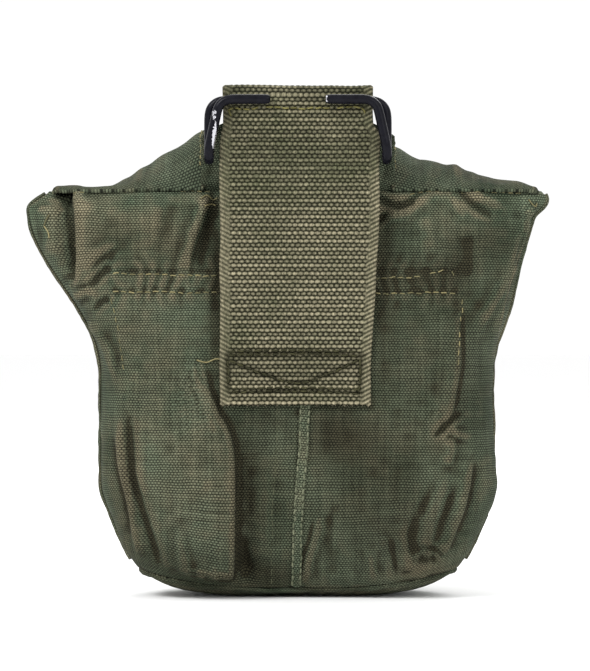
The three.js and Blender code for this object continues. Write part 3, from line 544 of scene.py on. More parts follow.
back_panels = {}
for side, name, first, last in ((-1, "left", MIDDLE_BACK, LEFT_SEAM), (1, "right", MIDDLE_BACK, RIGHT_SEAM)):
    grid = panel_grid(first, last, 205, 150)
    place = flat_place(grid)
    x, z = grid[..., 0], grid[..., 2]
    lift = back_lift(x, z)
    to_seam = (place[..., 0].max(1, keepdims=True) - place[..., 0]) * 1000
    lift *= ease(0, 7, to_seam)
    away = across_grid(grid)
    grid = grid + away * (-1 if np.mean(away[..., 1]) > 0 else 1) * lift[..., None]
    # the top edge turns over into the seam with the flaps
    roll = np.clip((z - 152.4) / 2.4, 0, 1) * (np.abs(x) > 30)
    grid[..., 1] += 1.3 * (1 - np.sqrt(1 - 0.98 * roll ** 2))
    # ridges lighter, partly abrasion and partly painted highlight; hollows darker, painted shade
    wear_and_highlight, soil_and_shade = ridge_wear_and_shade(x, z, lift, 11 + side)
    wear_and_highlight += sum(spot(x, z, *place) for place in WORN_AND_LIT_SPOTS)
    soil_and_shade += sum(spot(x, z, *place) for place in SOILED_AND_SHADED_SPOTS)
    # darker below the shoulders, and darker still in the middle round the strap
    soil_and_shade += 0.36 * (1 - ease(136, 150, z)) + spot(x, z, 0, 100, 33, 60, 0.35) * (np.abs(x) < 33)
    panel = cloth("canvas_back_" + name, grid, CANVAS, place, (0, -400, 90), wear_and_highlight=wear_and_highlight, soil_and_shade=soil_and_shade)
    panel.data.materials.append(canvas_green)
    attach(panel, "cover")
    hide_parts("back_panel_" + name)
    back_panels[name] = panel

# ---- The patch inside the back ----
# A second layer of the same duck inside the back, for the strap's stitches to hold in. Only its
# two rows of stitches show outside, running out from under the strap on both sides.


def deep_grid(first, last, rows, columns, low, high, inset, front=False, dip=None):
    """Points on a layer inside the cover: its smooth shape, set in, and pushed in where the folds are."""
    grid = panel_grid(first, last, rows, columns, top=high, outset=-inset, low=low, dip=dip)
    x, z = grid[..., 0], grid[..., 2]
    stands = front_lift if front else back_lift
    lift = np.min([stands(x + a, z + b) for a in (-2.4, 0, 2.4) for b in (-2, 2)], 0)
    push = np.minimum(0, lift + 0.3)
    away = across_grid(grid)
    middle = np.array([0, -8, 60.0])
    away *= np.sign((away * (grid - middle)).sum(2).mean())
    return grid + away * push[..., None]


def only(*pieces):
    """Selects some pieces and no others, and makes the first the active one."""
    bpy.ops.object.select_all(action="DESELECT")
    for piece in pieces:
        piece.select_set(True)
    bpy.context.view_layer.objects.active = pieces[0]


patch_sheets = []
for last in (LEFT_SEAM, RIGHT_SEAM):
    grid = deep_grid(MIDDLE_BACK, MIDDLE_BACK + 0.62 * (last - MIDDLE_BACK), 60, 60, 73, 126, CANVAS + 0.5)
    patch_sheets.append(cloth("patch_half", grid, 0.6, flat_place(grid), (0, -400, 90)))
only(*patch_sheets)
bpy.ops.object.join()
patch = bpy.context.object
patch.name = "patch_inside_back"
patch.data.materials.append(canvas_green)
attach(patch, "cover")
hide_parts("back_patch")


def tree_of(*objects):
    """A search tree of some finished pieces, in mm."""
    points, faces = [], []
    for obj in objects:
        start = len(points)
        points += [v.co * 1000 for v in obj.data.vertices]
        faces += [[start + i for i in p.vertices] for p in obj.data.polygons]
    return BVHTree.FromPolygons(points, faces)


def on_back(tree, x, z, side=-1):
    """The point of the cover's back (or front) at x and z, and which way it faces."""
    spot, facing, _, _ = tree.ray_cast(Vector((x, side * 200, z)), Vector((0, -side, 0)))
    if spot is None:
        return None
    if facing.y * side < 0:
        facing = -facing
    return np.array(spot), np.array(facing)


def laid(tree, line, side=-1):
    """A line of (x, z) points laid on the cloth: places and facings."""
    found = [on_back(tree, x, z, side) for x, z in line]
    found = [f for f in found if f is not None]
    return np.array([f[0] for f in found]), np.array([f[1] for f in found])


def ring_faces(count, sides, closed):
    """The faces of a tube of rings, and its index of corners."""
    index = np.arange(count * sides).reshape(count, sides)
    if closed:
        index = np.vstack([index, index[:1]])
    wrapped = np.hstack([index, index[:, :1]])
    faces = [wrapped[:-1, :-1], wrapped[1:, :-1], wrapped[1:, 1:], wrapped[:-1, 1:]]
    faces = np.stack(faces, -1).reshape(-1, 4)[:, ::-1].tolist()
    if not closed:
        faces += [index[0].tolist(), index[-1][::-1].tolist()]
    return faces


def tube(points, radii, sides, facing=None, closed=False):
    """The corners and faces of a round cord through some points; facing is its rings' upward way."""
    points = np.asarray(points, float)
    count = len(points)
    radii = np.broadcast_to(radii, count)
    if closed:
        way = np.roll(points, -1, 0) - np.roll(points, 1, 0)
    else:
        way = np.gradient(points, axis=0)
    way /= np.maximum(1e-9, np.linalg.norm(way, axis=1))[:, None]
    if facing is None:
        upright = np.abs(way[:, 2]).min() > 0.8
        up = np.tile([1.0, 0.05, 0.0] if upright else [0.02, 0.03, 1.0], (count, 1))
    else:
        up = np.asarray(facing, float)
    side = np.cross(way, up)
    side /= np.maximum(1e-9, np.linalg.norm(side, axis=1))[:, None]
    up = np.cross(side, way)
    turn = np.linspace(0, 2 * np.pi, sides, endpoint=False)
    cos, sin = np.cos(turn)[None, :, None], np.sin(turn)[None, :, None]
    ring = points[:, None] + radii[:, None, None] * (cos * side[:, None] + sin * up[:, None])
    return ring.reshape(-1, 3), ring_faces(count, sides, closed)


def outward(obj):
    """Turns all of a closed piece's faces outwards."""
    bm = bmesh.new()
    bm.from_mesh(obj.data)
    bmesh.ops.recalc_face_normals(bm, faces=bm.faces)
    bm.to_mesh(obj.data)
    bm.free()


def made_of(name, parts, material, body=None):
    """One piece out of many small tubes, in mm, each given as corners and faces, and each with its
    own shade of the material."""
    points, faces, shades, start = [], [], [], 0
    rng = np.random.default_rng(len(parts) + 7)
    for corners, sides in parts:
        points.append(corners)
        faces += [[start + i for i in face] for face in sides]
        shades.append(np.full(len(corners), rng.uniform()))
        start += len(corners)
    obj = piece_from(name, np.concatenate(points), faces)
    outward(obj)
    set_numbers(obj, "shade", np.concatenate(shades))
    obj.data.materials.append(material)
    if body:
        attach(obj, body)
    return obj


def stitches(places, facings, length, space, radius, seed, sink=0.45, rise=0.3, stray=0.12):
    """A row of stitches along a laid line: each a short thread that dips into the cloth at its ends."""
    rng = np.random.default_rng(seed)
    run = run_of(places)
    out = []
    at = rng.uniform(0, 1)
    while at + length < run[-1]:
        span = np.linspace(at, at + length, 6)
        p, n = at_run(span, run, places), at_run(span, run, facings)
        lift = np.array([-sink, 0.6 * rise, rise, rise, 0.6 * rise, -sink])
        sideways = np.cross(p[-1] - p[0], n[2])
        sideways /= max(1e-6, np.linalg.norm(sideways))
        p = p + n * lift[:, None] + sideways * rng.normal(0, stray) + n * rng.normal(0, stray * 0.4)
        p[3:] += sideways * rng.normal(0, stray)
        out.append(tube(p, radius * np.array([0.8, 1, 1, 1, 1, 0.8]), 5, facing=n))
        at += length + space * rng.uniform(0.8, 1.25)
    return out


def thread_finish(name, dark, light):
    """Waxed cotton thread: fine twist, each stitch a little lighter or darker than the next."""
    material, tree, shader = start_finish(name, 0.8, specular=0.2)
    fleck = noise(tree, object_place(tree), 2600, 2, 0.7)
    share = add(tree, times(tree, attribute(tree, "shade"), 0.7), swing(tree, fleck, 0.4, 1.2), clamp=True)
    tree.links.new(mixed(tree, share, dark, light), shader.inputs["Base Color"])
    bumped(tree, shader, fleck, 0.0002)
    return material


pale_thread = thread_finish("pale_thread", (0.085, 0.083, 0.042), (0.30, 0.26, 0.125))
green_thread = thread_finish("green_thread", (0.045, 0.052, 0.028), (0.125, 0.130, 0.078))
dark_thread = thread_finish("dark_thread", (0.018, 0.018, 0.008), (0.058, 0.056, 0.024))

back_tree = tree_of(*back_panels.values())


def straight(x0, z0, x1, z1, wave, seed):
    """A nearly straight line from one (x, z) to another."""
    t = np.linspace(0, 1, max(8, int(math.dist((x0, z0), (x1, z1)) / 0.8)))
    x, z = x0 + (x1 - x0) * t, z0 + (z1 - z0) * t
    w = wave * lumps(x + 3 * seed, z, 7, 40 + seed)
    across = np.array([-(z1 - z0), x1 - x0]) / max(1e-6, math.dist((x0, z0), (x1, z1)))
    return np.stack([x + across[0] * w, z + across[1] * w], 1)


patch_rows = []
for k, line in enumerate([
    (-70.5, 122.8, -44, 122.2), (-46, 122.3, -28, 121.9), (-70.5, 116.2, -42, 115.3),
    (-42, 115.3, -28, 115.8), (28, 121.2, 49, 122.2), (49, 122.2, 57.5, 124.8),
    (28, 115.4, 47, 115.8), (47, 115.8, 61, 115.2),
]):
    places, facings = laid(back_tree, straight(*line, wave=0.5, seed=k))
    patch_rows += stitches(places, facings, 2.6, 0.55, 0.26, 50 + k, rise=0.18)
row_stitches = made_of("patch_stitches", patch_rows, pale_thread, "cover")
down_rows = []
for k, line in enumerate([
    (-70.8, 114, -67.2, 99), (-67.2, 99, -65.8, 84), (58, 125, 59.6, 119), (62.3, 114, 60.8, 102),
    (60.8, 102, 60.2, 88),
]):
    places, facings = laid(back_tree, straight(*line, wave=0.3, seed=k + 9))
    down_rows += stitches(places, facings, 2.4, 1.0, 0.22, 70 + k, rise=0.12)
# loose ends of thread by the strap and at the ears
for line in [
    [(-38, 90.4), (-34.5, 89.6), (-31, 90.9), (-28.6, 90.5)],
    [(-36.6, 151.4), (-34.4, 152.6), (-32.4, 151.2), (-30.6, 151.9)],
    [(-96.2, 140.8), (-95.2, 143.6), (-94.2, 145.4)],
    [(-95.8, 141.0), (-94.4, 138.8), (-94.0, 136.6)],
    [(-35.2, 148.8), (-33, 149.6), (-31.2, 149.2)],
    [(87.5, 151.4), (89, 149.6), (90.2, 149.0), (90.8, 150.2)],
]:
    places, facings = laid(back_tree, smooth_line(line, 14))
    if len(places) > 4:
        down_rows.append(tube(places + facings * 0.35, 0.27, 5, facing=facings))
loose_threads = made_of("loose_threads", down_rows, pale_thread, "cover")
shoulder_rows = []
for k, line in enumerate([
    [(-45, 154.2), (-41, 154.6), (-37, 154.3), (-31, 153.9)],
    [(42, 153.2), (47, 153.9), (51.6, 154.4), (57, 154.6), (61, 154.4), (63, 153.2)],
    [(-88, 153.8), (-80, 153.9), (-70, 154.1), (-60, 154.1)],
    [(66, 154), (75, 154), (86, 153.4)],
]):
    places, facings = laid(back_tree, smooth_line(line, 30))
    shoulder_rows += stitches(places, facings, 2.2, 0.9, 0.24, 90 + k, rise=0.15)
top_stitches = made_of("shoulder_stitches", shoulder_rows, pale_thread, "cover")

# ---- The middle seam ----
# The two halves of the back are joined by a flat felled seam: the edges are folded into each other
# and sewn down with two rows of faded green thread.


def smoothed(values, times_over=8, closed=False):
    """A line with its small bends smoothed out."""
    values = values.copy()
    for _ in range(times_over):
        if closed:
            values = (np.roll(values, 1, 0) + 2 * values + np.roll(values, -1, 0)) / 4
        else:
            values[1:-1] = (values[:-2] + 2 * values[1:-1] + values[2:]) / 4
    return values


heights = np.linspace(4.4, 90, 180)
seam_x = seam_line(heights) + 0.3 * lumps(heights, heights * 0, 9, 21)
seam_points, seam_facings = (smoothed(v, 6) for v in laid(back_tree, np.stack([seam_x, heights], 1)))
way = np.gradient(seam_points, axis=0)
way /= np.linalg.norm(way, axis=1)[:, None]
left = np.cross(seam_facings, way)
left /= np.linalg.norm(left, axis=1)[:, None]
SEAM_HALF = 2.15
shares = np.linspace(-1, 1, 15)
rise = 1.25 * (1 - np.abs(shares) ** 6) - 0.42 * np.exp(-((np.abs(shares) - 0.66) / 0.15) ** 2)
edge = 1 + 0.07 * np.sin(seam_points[:, 2] * 2.1) * 0.6
rough = 0.2 * lumps(seam_points[:, 2:3] * 0.6 + 9 * shares, seam_points[:, 2:3], 2.4, 22)
grid = (seam_points[:, None] + left[:, None] * (shares * SEAM_HALF)[None, :, None] * edge[:, None, None]
        + seam_facings[:, None] * (rise - 0.12 + rough)[..., None])
wear_and_highlight = 0.12 + 0.2 * lumps(grid[..., 0], grid[..., 2], 8, 23)
seam = cloth("middle_seam", grid, 0.5, flat_place(grid), (0, -400, 60), wear_and_highlight=wear_and_highlight, soil_and_shade=0.22 + 0 * wear_and_highlight)
seam.data.materials.append(canvas_green)
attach(seam, "cover")
seam_rows = []
for k, across in enumerate((-1, 1)):
    row = seam_points + left * across * 1.45 + seam_facings * 0.5
    seam_rows += stitches(row, seam_facings, 2.1, 0.6, 0.42, 120 + k, rise=0.5, sink=0.3)
faded_thread = thread_finish("faded_thread", (0.085, 0.10, 0.06), (0.20, 0.21, 0.135))
seam_stitches = made_of("middle_seam_stitches", seam_rows, faded_thread, "cover")
drawn_x = -7.7 - 2.6 * ease(74, 6, heights) + 0.35 * lumps(heights, heights * 0, 6, 24)
places, facings = laid(back_tree, np.stack([drawn_x, heights], 1))
drawn = stitches(places, facings, 3.4, 0.6, 0.15, 130, rise=0.08)
drawn_thread = made_of("drawn_thread", drawn, green_thread, "cover")

# ---- The front of the cover ----
# One piece of the same duck, with its top edge dipped below the bottle's neck and turned over
# into a narrow hem. It bulges over the bottle and hangs in soft upright folds.

FRONT_FOLDS = [
    ([(-8, 128), (-6, 100), (-9, 66), (-12, 30)], 1.1, 8, 6, 0.3, 0.3),
    ([(14, 118), (16, 88), (13, 58)], -0.9, 5, 6, 0.3, 0.4),
    ([(34, 96), (37, 70), (34, 44), (30, 22)], 1.3, 6, 3, 0.3, 0.3),
    ([(-36, 98), (-34, 72), (-38, 46), (-40, 24)], -1.2, 3, 6, 0.3, 0.3),
    ([(-60, 118), (-62, 92), (-60, 66), (-56, 40)], 1.6, 5, 3, 0.2, 0.3),
    ([(60, 120), (63, 94), (62, 64), (57, 38)], 1.4, 3, 5, 0.2, 0.3),
    ([(70, 132), (68, 112), (69, 92)], -1.8, 3, 3, 0.2, 0.3),
    ([(-72, 136), (-69, 114), (-70, 90)], -1.7, 3, 3, 0.2, 0.3),
    ([(84, 150), (78, 134), (74, 116)], 1.6, 4, 4, 0.1, 0.3),
    ([(-86, 150), (-80, 132), (-75, 114)], 1.8, 4, 4, 0.1, 0.3),
    ([(-22, 44), (-24, 26), (-23, 8)], 1.4, 3, 2, 0.4, 0.0),
    ([(20, 40), (22, 24), (21, 8)], -1.4, 2.5, 3, 0.4, 0.0),
    ([(48, 44), (46, 28), (42, 12)], 1.7, 3, 2, 0.3, 0.0),
    ([(-50, 44), (-48, 28), (-44, 12)], 1.6, 2, 3, 0.3, 0.0),
]


def front_lift(x, z):
    """How far the front stands off its smooth shape, in mm."""
    lift = sum(fold(x, z, *line) for line in FRONT_FOLDS)
    lift += 1.1 * lumps(x, z, 26, 61) + 0.5 * lumps(x, z * 0.7, 11, 62) + 0.2 * lumps(x, z, 4.8, 63)
    foot = z - hem_height(x)
    gathers = np.sin(x * 0.66 + 2.4 * lumps(x, 0 * z, 14, 64)) * (0.6 + 0.4 * lumps(x, z, 12, 65))
    lift += 0.8 * np.exp(-foot / 7) * gathers
    lift *= ease(0, 5, foot)
    # flatter and drawn in under the tongues
    under = ease(20, 30, np.abs(x)) * (1 - ease(70, 80, np.abs(x))) * ease(102, 112, z)
    return lift * (1 - 0.85 * under) - 0.5 * under


def notch(x):
    """How far the front's top edge dips below the bottle's neck."""
    return 12 * (1 - ease(18, 34.6, np.abs(x)))


grid = panel_grid(RIGHT_SEAM, math.pi, 190, 230, dip=notch)
place = flat_place(grid, True)
x, z = grid[..., 0], grid[..., 2]
lift = front_lift(x, z)
run = (place[..., 0] - place[..., 0].min(1, keepdims=True)) * 1000
lift *= ease(0, 7, np.minimum(run, run.max(1, keepdims=True) - run))
away = across_grid(grid)
away *= np.sign(away[..., 1].mean())
below_edge = HEM_TOP - notch(x) - z
hem = np.clip(1 - below_edge / 7, 0, 1)
lift += (0.55 * np.clip(hem * 5, 0, 1) - 0.5 * np.exp(-((below_edge - 6) / 0.9) ** 2)) * (np.abs(x) < 90)
grid = grid + away * lift[..., None]
# ridges lighter, partly abrasion and partly painted highlight; hollows darker, painted shade
wear_and_highlight, soil_and_shade = ridge_wear_and_shade(x, z, lift, 15)
for place_worn in ((0, 78, 40, 24, 0.3), (-52, 60, 9, 26, 0.35), (55, 52, 8, 24, 0.35), (0, 141, 30, 3, 0.5)):
    wear_and_highlight += spot(x, z, *place_worn)
for place_soiled in ((-20, 34, 24, 18, 0.35), (34, 26, 22, 12, 0.35), (62, 112, 8, 14, 0.3),
                     (-62, 112, 8, 14, 0.3)):
    soil_and_shade += spot(x, z, *place_soiled)
front = cloth("canvas_front", grid, CANVAS, place, (0, 400, 90), wear_and_highlight=wear_and_highlight, soil_and_shade=soil_and_shade)
front.data.materials.append(canvas_green)
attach(front, "cover")
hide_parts("front_panel")
front_tree = tree_of(front)
hem_rows = []
for k, (first, last) in enumerate(((-88, -28), (-26, 27), (28, 88))):
    x = np.linspace(first, last, 90)
    places, facings = laid(front_tree, np.stack([x, HEM_TOP - notch(x) - 5.6], 1), side=1)
    hem_rows += stitches(places, facings, 2.5, 0.7, 0.26, 140 + k, rise=0.15)
front_hem_stitches = made_of("front_hem_stitches", hem_rows, pale_thread, "cover")

# ---- The side seams and the bottom ----
# The side seams are turned in and piped. The bottom is a kidney of duck, sewn into a rolled seam
# that the panels gather on to; it sags a little flat where the canteen stands.


def rolled(name, points, radius, sides, facing, soil_and_shade, wear_and_highlight, seed, closed=False):
    """A roll of canvas along a line, with the weave running along it."""
    turn = np.linspace(0, 2 * np.pi, sides, endpoint=False)
    way = (np.roll(points, -1, 0) - np.roll(points, 1, 0)) if closed else np.gradient(points, axis=0)
    way /= np.linalg.norm(way, axis=1)[:, None]
    side = np.cross(way, facing)
    side /= np.linalg.norm(side, axis=1)[:, None]
    up = np.cross(side, way)
    run = run_of(points)
    radius = radius * (1 + 0.22 * lumps(run, run * 0, 5, seed) + 0.12 * lumps(run, run * 0, 1.8, seed + 1))
    cos, sin = np.cos(turn)[None, :, None], np.sin(turn)[None, :, None]
    grid = points[:, None] + radius[:, None, None] * (cos * side[:, None] + sin * up[:, None])
    obj = piece_from(name, grid.reshape(-1, 3), ring_faces(len(points), sides, closed))
    outward(obj)
    set_weave(obj, np.stack([np.repeat(run, sides), np.tile(turn * 1.6, len(run))], 1) * 0.001)
    set_numbers(obj, "wear_and_highlight", wear_and_highlight + 0.3 * np.repeat(lumps(run, run * 0, 11, seed + 2), sides))
    set_numbers(obj, "soil_and_shade", soil_and_shade + 0.3 * np.repeat(lumps(run, run * 0, 9, seed + 3), sides))
    obj.data.materials.append(canvas_green)
    return obj


def hem_ring(outset, count):
    """Points evenly spaced round the cover's lower edge."""
    angles = np.linspace(0, 2 * np.pi, 4000, endpoint=False)
    guess = cover_at(8.0, angles, outset)
    line = np.array([cover_at(hem_height(x), a, outset) for x, a in zip(guess[:, 0], angles)])
    run = run_of(line)
    return at_run(np.linspace(0, run[-1], count, endpoint=False), run, line)


ring = hem_ring(-1.5, 520)
run = np.arange(520) * 0.6
ring[:, 2] += 0.5 * lumps(run, run * 0, 16, 71) + 0.25 * lumps(run, run * 0, 5, 72) - 0.8
ring[:, :2] *= (1 + 0.006 * lumps(run, run * 0, 10, 73))[:, None]
ring = smoothed(ring, 3, closed=True)
out = ring * [1, 1, 0] / np.linalg.norm(ring * [1, 1, 0], axis=1)[:, None]
ring += out * 0.3
bottom_roll = rolled("bottom_roll", ring, 1.1, 12, out + [0, 0, 0.01], 0.62, 0.12, 74, closed=True)
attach(bottom_roll, "cover")
for side, name in ((-1, "left"), (1, "right")):
    heights = np.linspace(hem_height(60.0) + 2.5, 153.6, 170)
    line = np.array([cover_at(h, math.pi if side < 0 else 0.0) for h in heights])
    line[:, 0] += side * 0.2 + 0.25 * lumps(heights, heights * 0, 9, 75)
    line[:, 1] += 0.5 * lumps(heights, heights * 0, 18, 76)
    facing = np.tile([side * 1.0, 0.01, 0], (len(line), 1))
    side_roll = rolled("side_seam_" + name, smoothed(line, 4), 1.05, 10, facing, 0.25, 0.45, 77 + side)
    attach(side_roll, "cover")

rings = []
foot_ring = hem_ring(-0.9, 300)
for step in (1.0, 0.985, 0.96, 0.92, 0.87, 0.81, 0.74, 0.66, 0.57, 0.47, 0.36, 0.24, 0.12, 0.01):
    base = foot_ring.copy()
    base[:, :2] = (base[:, :2] - [0, -4]) * step + [0, -4]
    pucker = np.sin(np.arange(300) * 0.62 + 2 * lumps(np.arange(300), 0, 30, 70))
    base[:, 2] = (0.5 + (base[:, 2] - 0.5) * step ** 5
                  + 0.35 * (1 + pucker) * math.sin(math.pi * step ** 3) * 0.8)
    rings.append(base)
grid = np.array(rings)
wear_and_highlight = 0.25 + 0.3 * lumps(grid[..., 0], grid[..., 1], 20, 79)
bottom = cloth("canvas_bottom", grid, -0.8, grid[..., :2] * 0.001, (0, -6, -100), wrap=True,
               wear_and_highlight=wear_and_highlight, soil_and_shade=0.45 + 0 * wear_and_highlight)
bottom.data.materials.append(canvas_green)
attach(bottom, "cover")
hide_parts("bottom_panel")

# ---- The felt lining ----
# Pressed felt, buff and fuzzy, glued and tacked inside the cover to keep the bottle from knocking.
# Its wall stops below the top edge, and a kidney of the same felt lies in the bottom.


def felt_finish():
    """Buff wool felt: matted fibres, pale and dark, with a soft nap."""
    material, tree, shader = start_finish("buff_felt", 0.97, specular=0.05)
    where = object_place(tree)
    cloud, fibre, fuzz = noise(tree, where, 60, 4), noise(tree, where, 700, 5,
                                                          0.7), noise(tree, where, 2400, 3, 0.7)
    base = mixed(tree, spread(tree, cloud, 0.35, 0.65), (0.23, 0.19, 0.115), (0.34, 0.29, 0.19))
    speck = mixed(tree, spread(tree, fibre, 0.38, 0.62), (0.45, 0.42, 0.38), (1.15, 1.15, 1.12))
    tree.links.new(mixed(tree, 1.0, base, speck, "MULTIPLY"), shader.inputs["Base Color"])
    shader.inputs["Sheen Weight"].default_value = 0.4
    bumped(tree, shader, add(tree, fibre, times(tree, fuzz, 0.5)), 0.0006)
    return material


buff_felt = felt_finish()
back_wall = deep_grid(LEFT_SEAM, RIGHT_SEAM, 60, 130, 7.0, 138.0, 3.4)
front_wall = deep_grid(RIGHT_SEAM, math.pi, 60, 130, 7.0, 136.0, 5.6, front=True)
grid = np.concatenate([back_wall, front_wall[:, 1:-1]], 1)
grid[..., 2] += 0.7 * lumps(grid[..., 0], grid[..., 1], 9, 81) * ease(130, 138, grid[..., 2])
felt_wall = cloth("felt_wall", grid, 2.2, flat_place(grid), (grid[30, 65, 0], -400, 60), wrap=True)
felt_wall.data.materials.append(buff_felt)
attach(felt_wall, "cover")
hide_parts("lining_wall")
rings = []
for share in (0.80, 0.79, 0.72, 0.6, 0.45, 0.3, 0.15, 0.01):
    ring = foot_ring[::2].copy()
    ring[:, :2] = (ring[:, :2] - [0, -4]) * share + [0, -4]
    ring[:, 2] = 3.6 + (ring[:, 2] - 0.5) * share ** 5 + 0.2 * lumps(ring[:, 0], ring[:, 1], 10, 82)
    rings.append(ring)
grid = np.array(rings)
felt_floor = cloth("felt_floor", grid, 2.0, grid[..., :2] * 0.001, (0, -6, 100), wrap=True)
felt_floor.data.materials.append(buff_felt)
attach(felt_floor, "cover")
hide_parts("lining_bottom")

# ---- The tab behind the strap ----
# A short tongue of doubled duck that stands up from the back's top edge behind the bottle's neck.
# The hanger strap's inner end is sewn to it, and its own edge is turned and stitched.


def side_y(side, x, z, outset=0.0):
    """How far back (-1) or forward (1) the cover's smooth side is at x and z."""
    lens = ease(95, 155, z)
    width = 44 + 31.5 * rounding(z) + 21.5 * ease(85, 150, z) + outset
    depth = 20 + 21 * rounding(z) - 13 * lens + outset
    power = 2.5 - 0.9 * lens
    share = np.minimum(1, np.abs(x) / width)
    return side * depth * (1 - share ** power) ** (1 / power) - 0.006 * x * x / (1 + (x / 80) ** 2) - 4 * lens


TAB_HALF = 36.6


def tab_y(x, z):
    """The tab's place, front to back: it leans away from the bottle as it rises."""
    return side_y(-1, x, 155.0) - 3.5 * (z - 155) / 29


def tab_top(x):
    return 184 - 9 * np.abs(x / TAB_HALF) ** 3.2


x = np.tile(np.linspace(-TAB_HALF, TAB_HALF, 120), (50, 1))
top = tab_top(x)
z = 154.2 + (top - 154.2) * np.linspace(0, 1, 50)[:, None]
y = tab_y(x, z) + 0.5 * lumps(x, z, 11, 83) + 0.25 * lumps(x, z, 4, 84)
y += 0.9 * fold(x, z, [(-33, 176), (-32, 166), (-34, 157)], 1.0, 1.6, 2.4)
y += 0.8 * fold(x, z, [(34, 172), (32, 164), (33, 156)], 1.0, 2.4, 1.6)
y += np.exp(-((z - top + 3.4) / 0.8) ** 2) * 0.35 + 1.4 * ease(4, 0, z - 154.2)
grid = np.stack([x, y, z], -1)
tab = cloth("tab", grid, 1.3, flat_place(grid, True), (0, -400, 170), wear_and_highlight=0.1 + 0.15 * lumps(x, z, 9, 85),
            soil_and_shade=0.12 + 0.1 * lumps(x, z, 13, 86))
# the same duck darkened to 0.72: a painted shade copy for the tab and the flaps
canvas_yoke = canvas_finish("shaded_canvas", 0.00104, shade_factor=0.72, turn=0.22)
tab.data.materials.append(canvas_yoke)
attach(tab, "cover")
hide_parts("neck_tab")
tab_tree = tree_of(tab)
line = np.linspace(-32, 32, 90)
places, facings = laid(tab_tree, np.stack([line, tab_top(line) - 3.4], 1), side=1)
tab_stitches = made_of("tab_stitches", stitches(places, facings, 2.4, 0.8, 0.25, 150, rise=0.15),
                       pale_thread, "cover")

# ---- The hanger strap ----
# Thick cotton webbing, sewn flat to the back with a box of dark thread, carried up in front of the
# belt and turned over the hook's bar. The weave is coarse, with rounded, harder edges.

WEBBING, WIRE_RADIUS = 2.3, 1.8
SEWN_END = 73.6     # the height of the strap's cut end
HOOK_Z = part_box("belt_hook")[1].z * 1000 - WIRE_RADIUS
HOOK_Y = -42.4137
LOOP = WIRE_RADIUS + 0.4 + WEBBING / 2
sewn_y = side_y(-1, 28.7, 92.0) - 0.2 - WEBBING / 2
outer_y = HOOK_Y - LOOP


# the strap's middle line, as (y, z): up the back, over the hook's bar and down behind
rise = HOOK_Z - 92
line = [(sewn_y, SEWN_END), (sewn_y, 82), (sewn_y, 92), (sewn_y * 0.7 + outer_y * 0.3, 92 + 0.25 * rise),
        (sewn_y * 0.2 + outer_y * 0.8, 92 + 0.6 * rise), (outer_y, HOOK_Z - LOOP - 2)]
line += [(HOOK_Y + LOOP * math.cos(a), HOOK_Z + 0.9 + (LOOP + 0.3) * math.sin(a))
         for a in np.linspace(math.pi, 0, 13)]
line += [(tab_y(28.7, z) - 0.2 - WEBBING / 2, z) for z in (181, 174, 167, 160.5)]
path = smooth_line(line, 900)
run = run_of(path)
ROWS, COLUMNS = 366, 112
END, PICK = 2.1, 1.52       # the spacing of the webbing's knots, across and along
even = np.linspace(0, run[-1], ROWS)
y, z = at_run(even, run, path).T
way = np.gradient(np.stack([y, z], 1), axis=0)
way /= np.linalg.norm(way, axis=1)[:, None]
share = np.linspace(-1, 1, COLUMNS)
share = np.sign(share) * np.abs(share) ** 0.93
left_edge = -29.4 + 1.1 * ease(98, 106, even) + 0.35 * lumps(even, even * 0, 12, 91)
right_edge = (27.4 + 3.3 * ease(8, 80, even) - 2.4 * ease(101, 106, even)
              + 0.35 * lumps(even, even * 0, 12, 92))
X = (left_edge + right_edge)[:, None] / 2 + share[None, :] * ((right_edge - left_edge) / 2)[:, None]
S = np.tile(even[:, None], (1, COLUMNS))
bow = side_y(-1, X, 74.0) - side_y(-1, 28.7, 74.0)
sewn = (1 - ease(18, 50, S)) * bow
small_row = np.floor(S / PICK) % 2
end_of_cell = np.abs((X / END + 0.5 * small_row) % 1 - 0.5) * 2
pick_of_cell = np.abs((S / PICK) % 1 - 0.5) * 2
weave = np.clip(1.25 - 0.3 * small_row - 0.9 * end_of_cell ** 2 - 0.9 * pick_of_cell ** 2, 0, 1)
inset = np.minimum(X - left_edge[:, None], right_edge[:, None] - X)
ribs = 0.5 + 0.5 * np.sin(2 * np.pi * (S / 1.7 + inset / 3.2))
weave = weave * ease(3.0, 4.2, inset) + ribs * (1 - ease(3.0, 4.2, inset))
rounded = 0.75 * (1 - np.clip(1 - inset / 1.3, 0, 1) ** 2) - 0.75
slack = 0.5 * lumps(X, S, 26, 93) + 0.2 * lumps(X, S, 9, 94)
# the rows of stitches pull the webbing down; V-shaped rows cross the sewn end
box_lines = [
    [(-26.5, 92.4), (0, 92.8), (24.6, 92.2)],
    [(-26, 90.6), (-13, 85), (0.5, 81.8), (12, 85.5), (23.8, 90.8)],
    [(-25.5, 78.2), (0, 78.8), (24, 77.8)],
    [(23.6, 91), (23.4, 84), (22.8, 78.4)],
    [(-26.4, 91), (-26.2, 85), (-26, 79)],
]
Z_front = SEWN_END + S
pull = np.zeros_like(X)
for line in box_lines:
    for x0, z0 in smooth_line(line, 50):
        pull = np.maximum(pull, np.exp(-(((X - x0) / 0.95) ** 2 + ((Z_front - z0) / 0.85) ** 2)))
puff = 0.5 * ease(18, 12, S) * (1 - pull) * lumps(X, S, 7, 95)
top_pull = np.exp(-((Z_front - (HOOK_Z - 3.0)) / 1.0) ** 2)
height = 0.29 * weave + rounded + slack + puff - 0.75 * pull - 0.35 * top_pull
off = WEBBING / 2 + height - 0.2
face = np.stack([X, y[:, None] + sewn - off * way[:, 1:2], z[:, None] + off * way[:, 0:1]], -1)
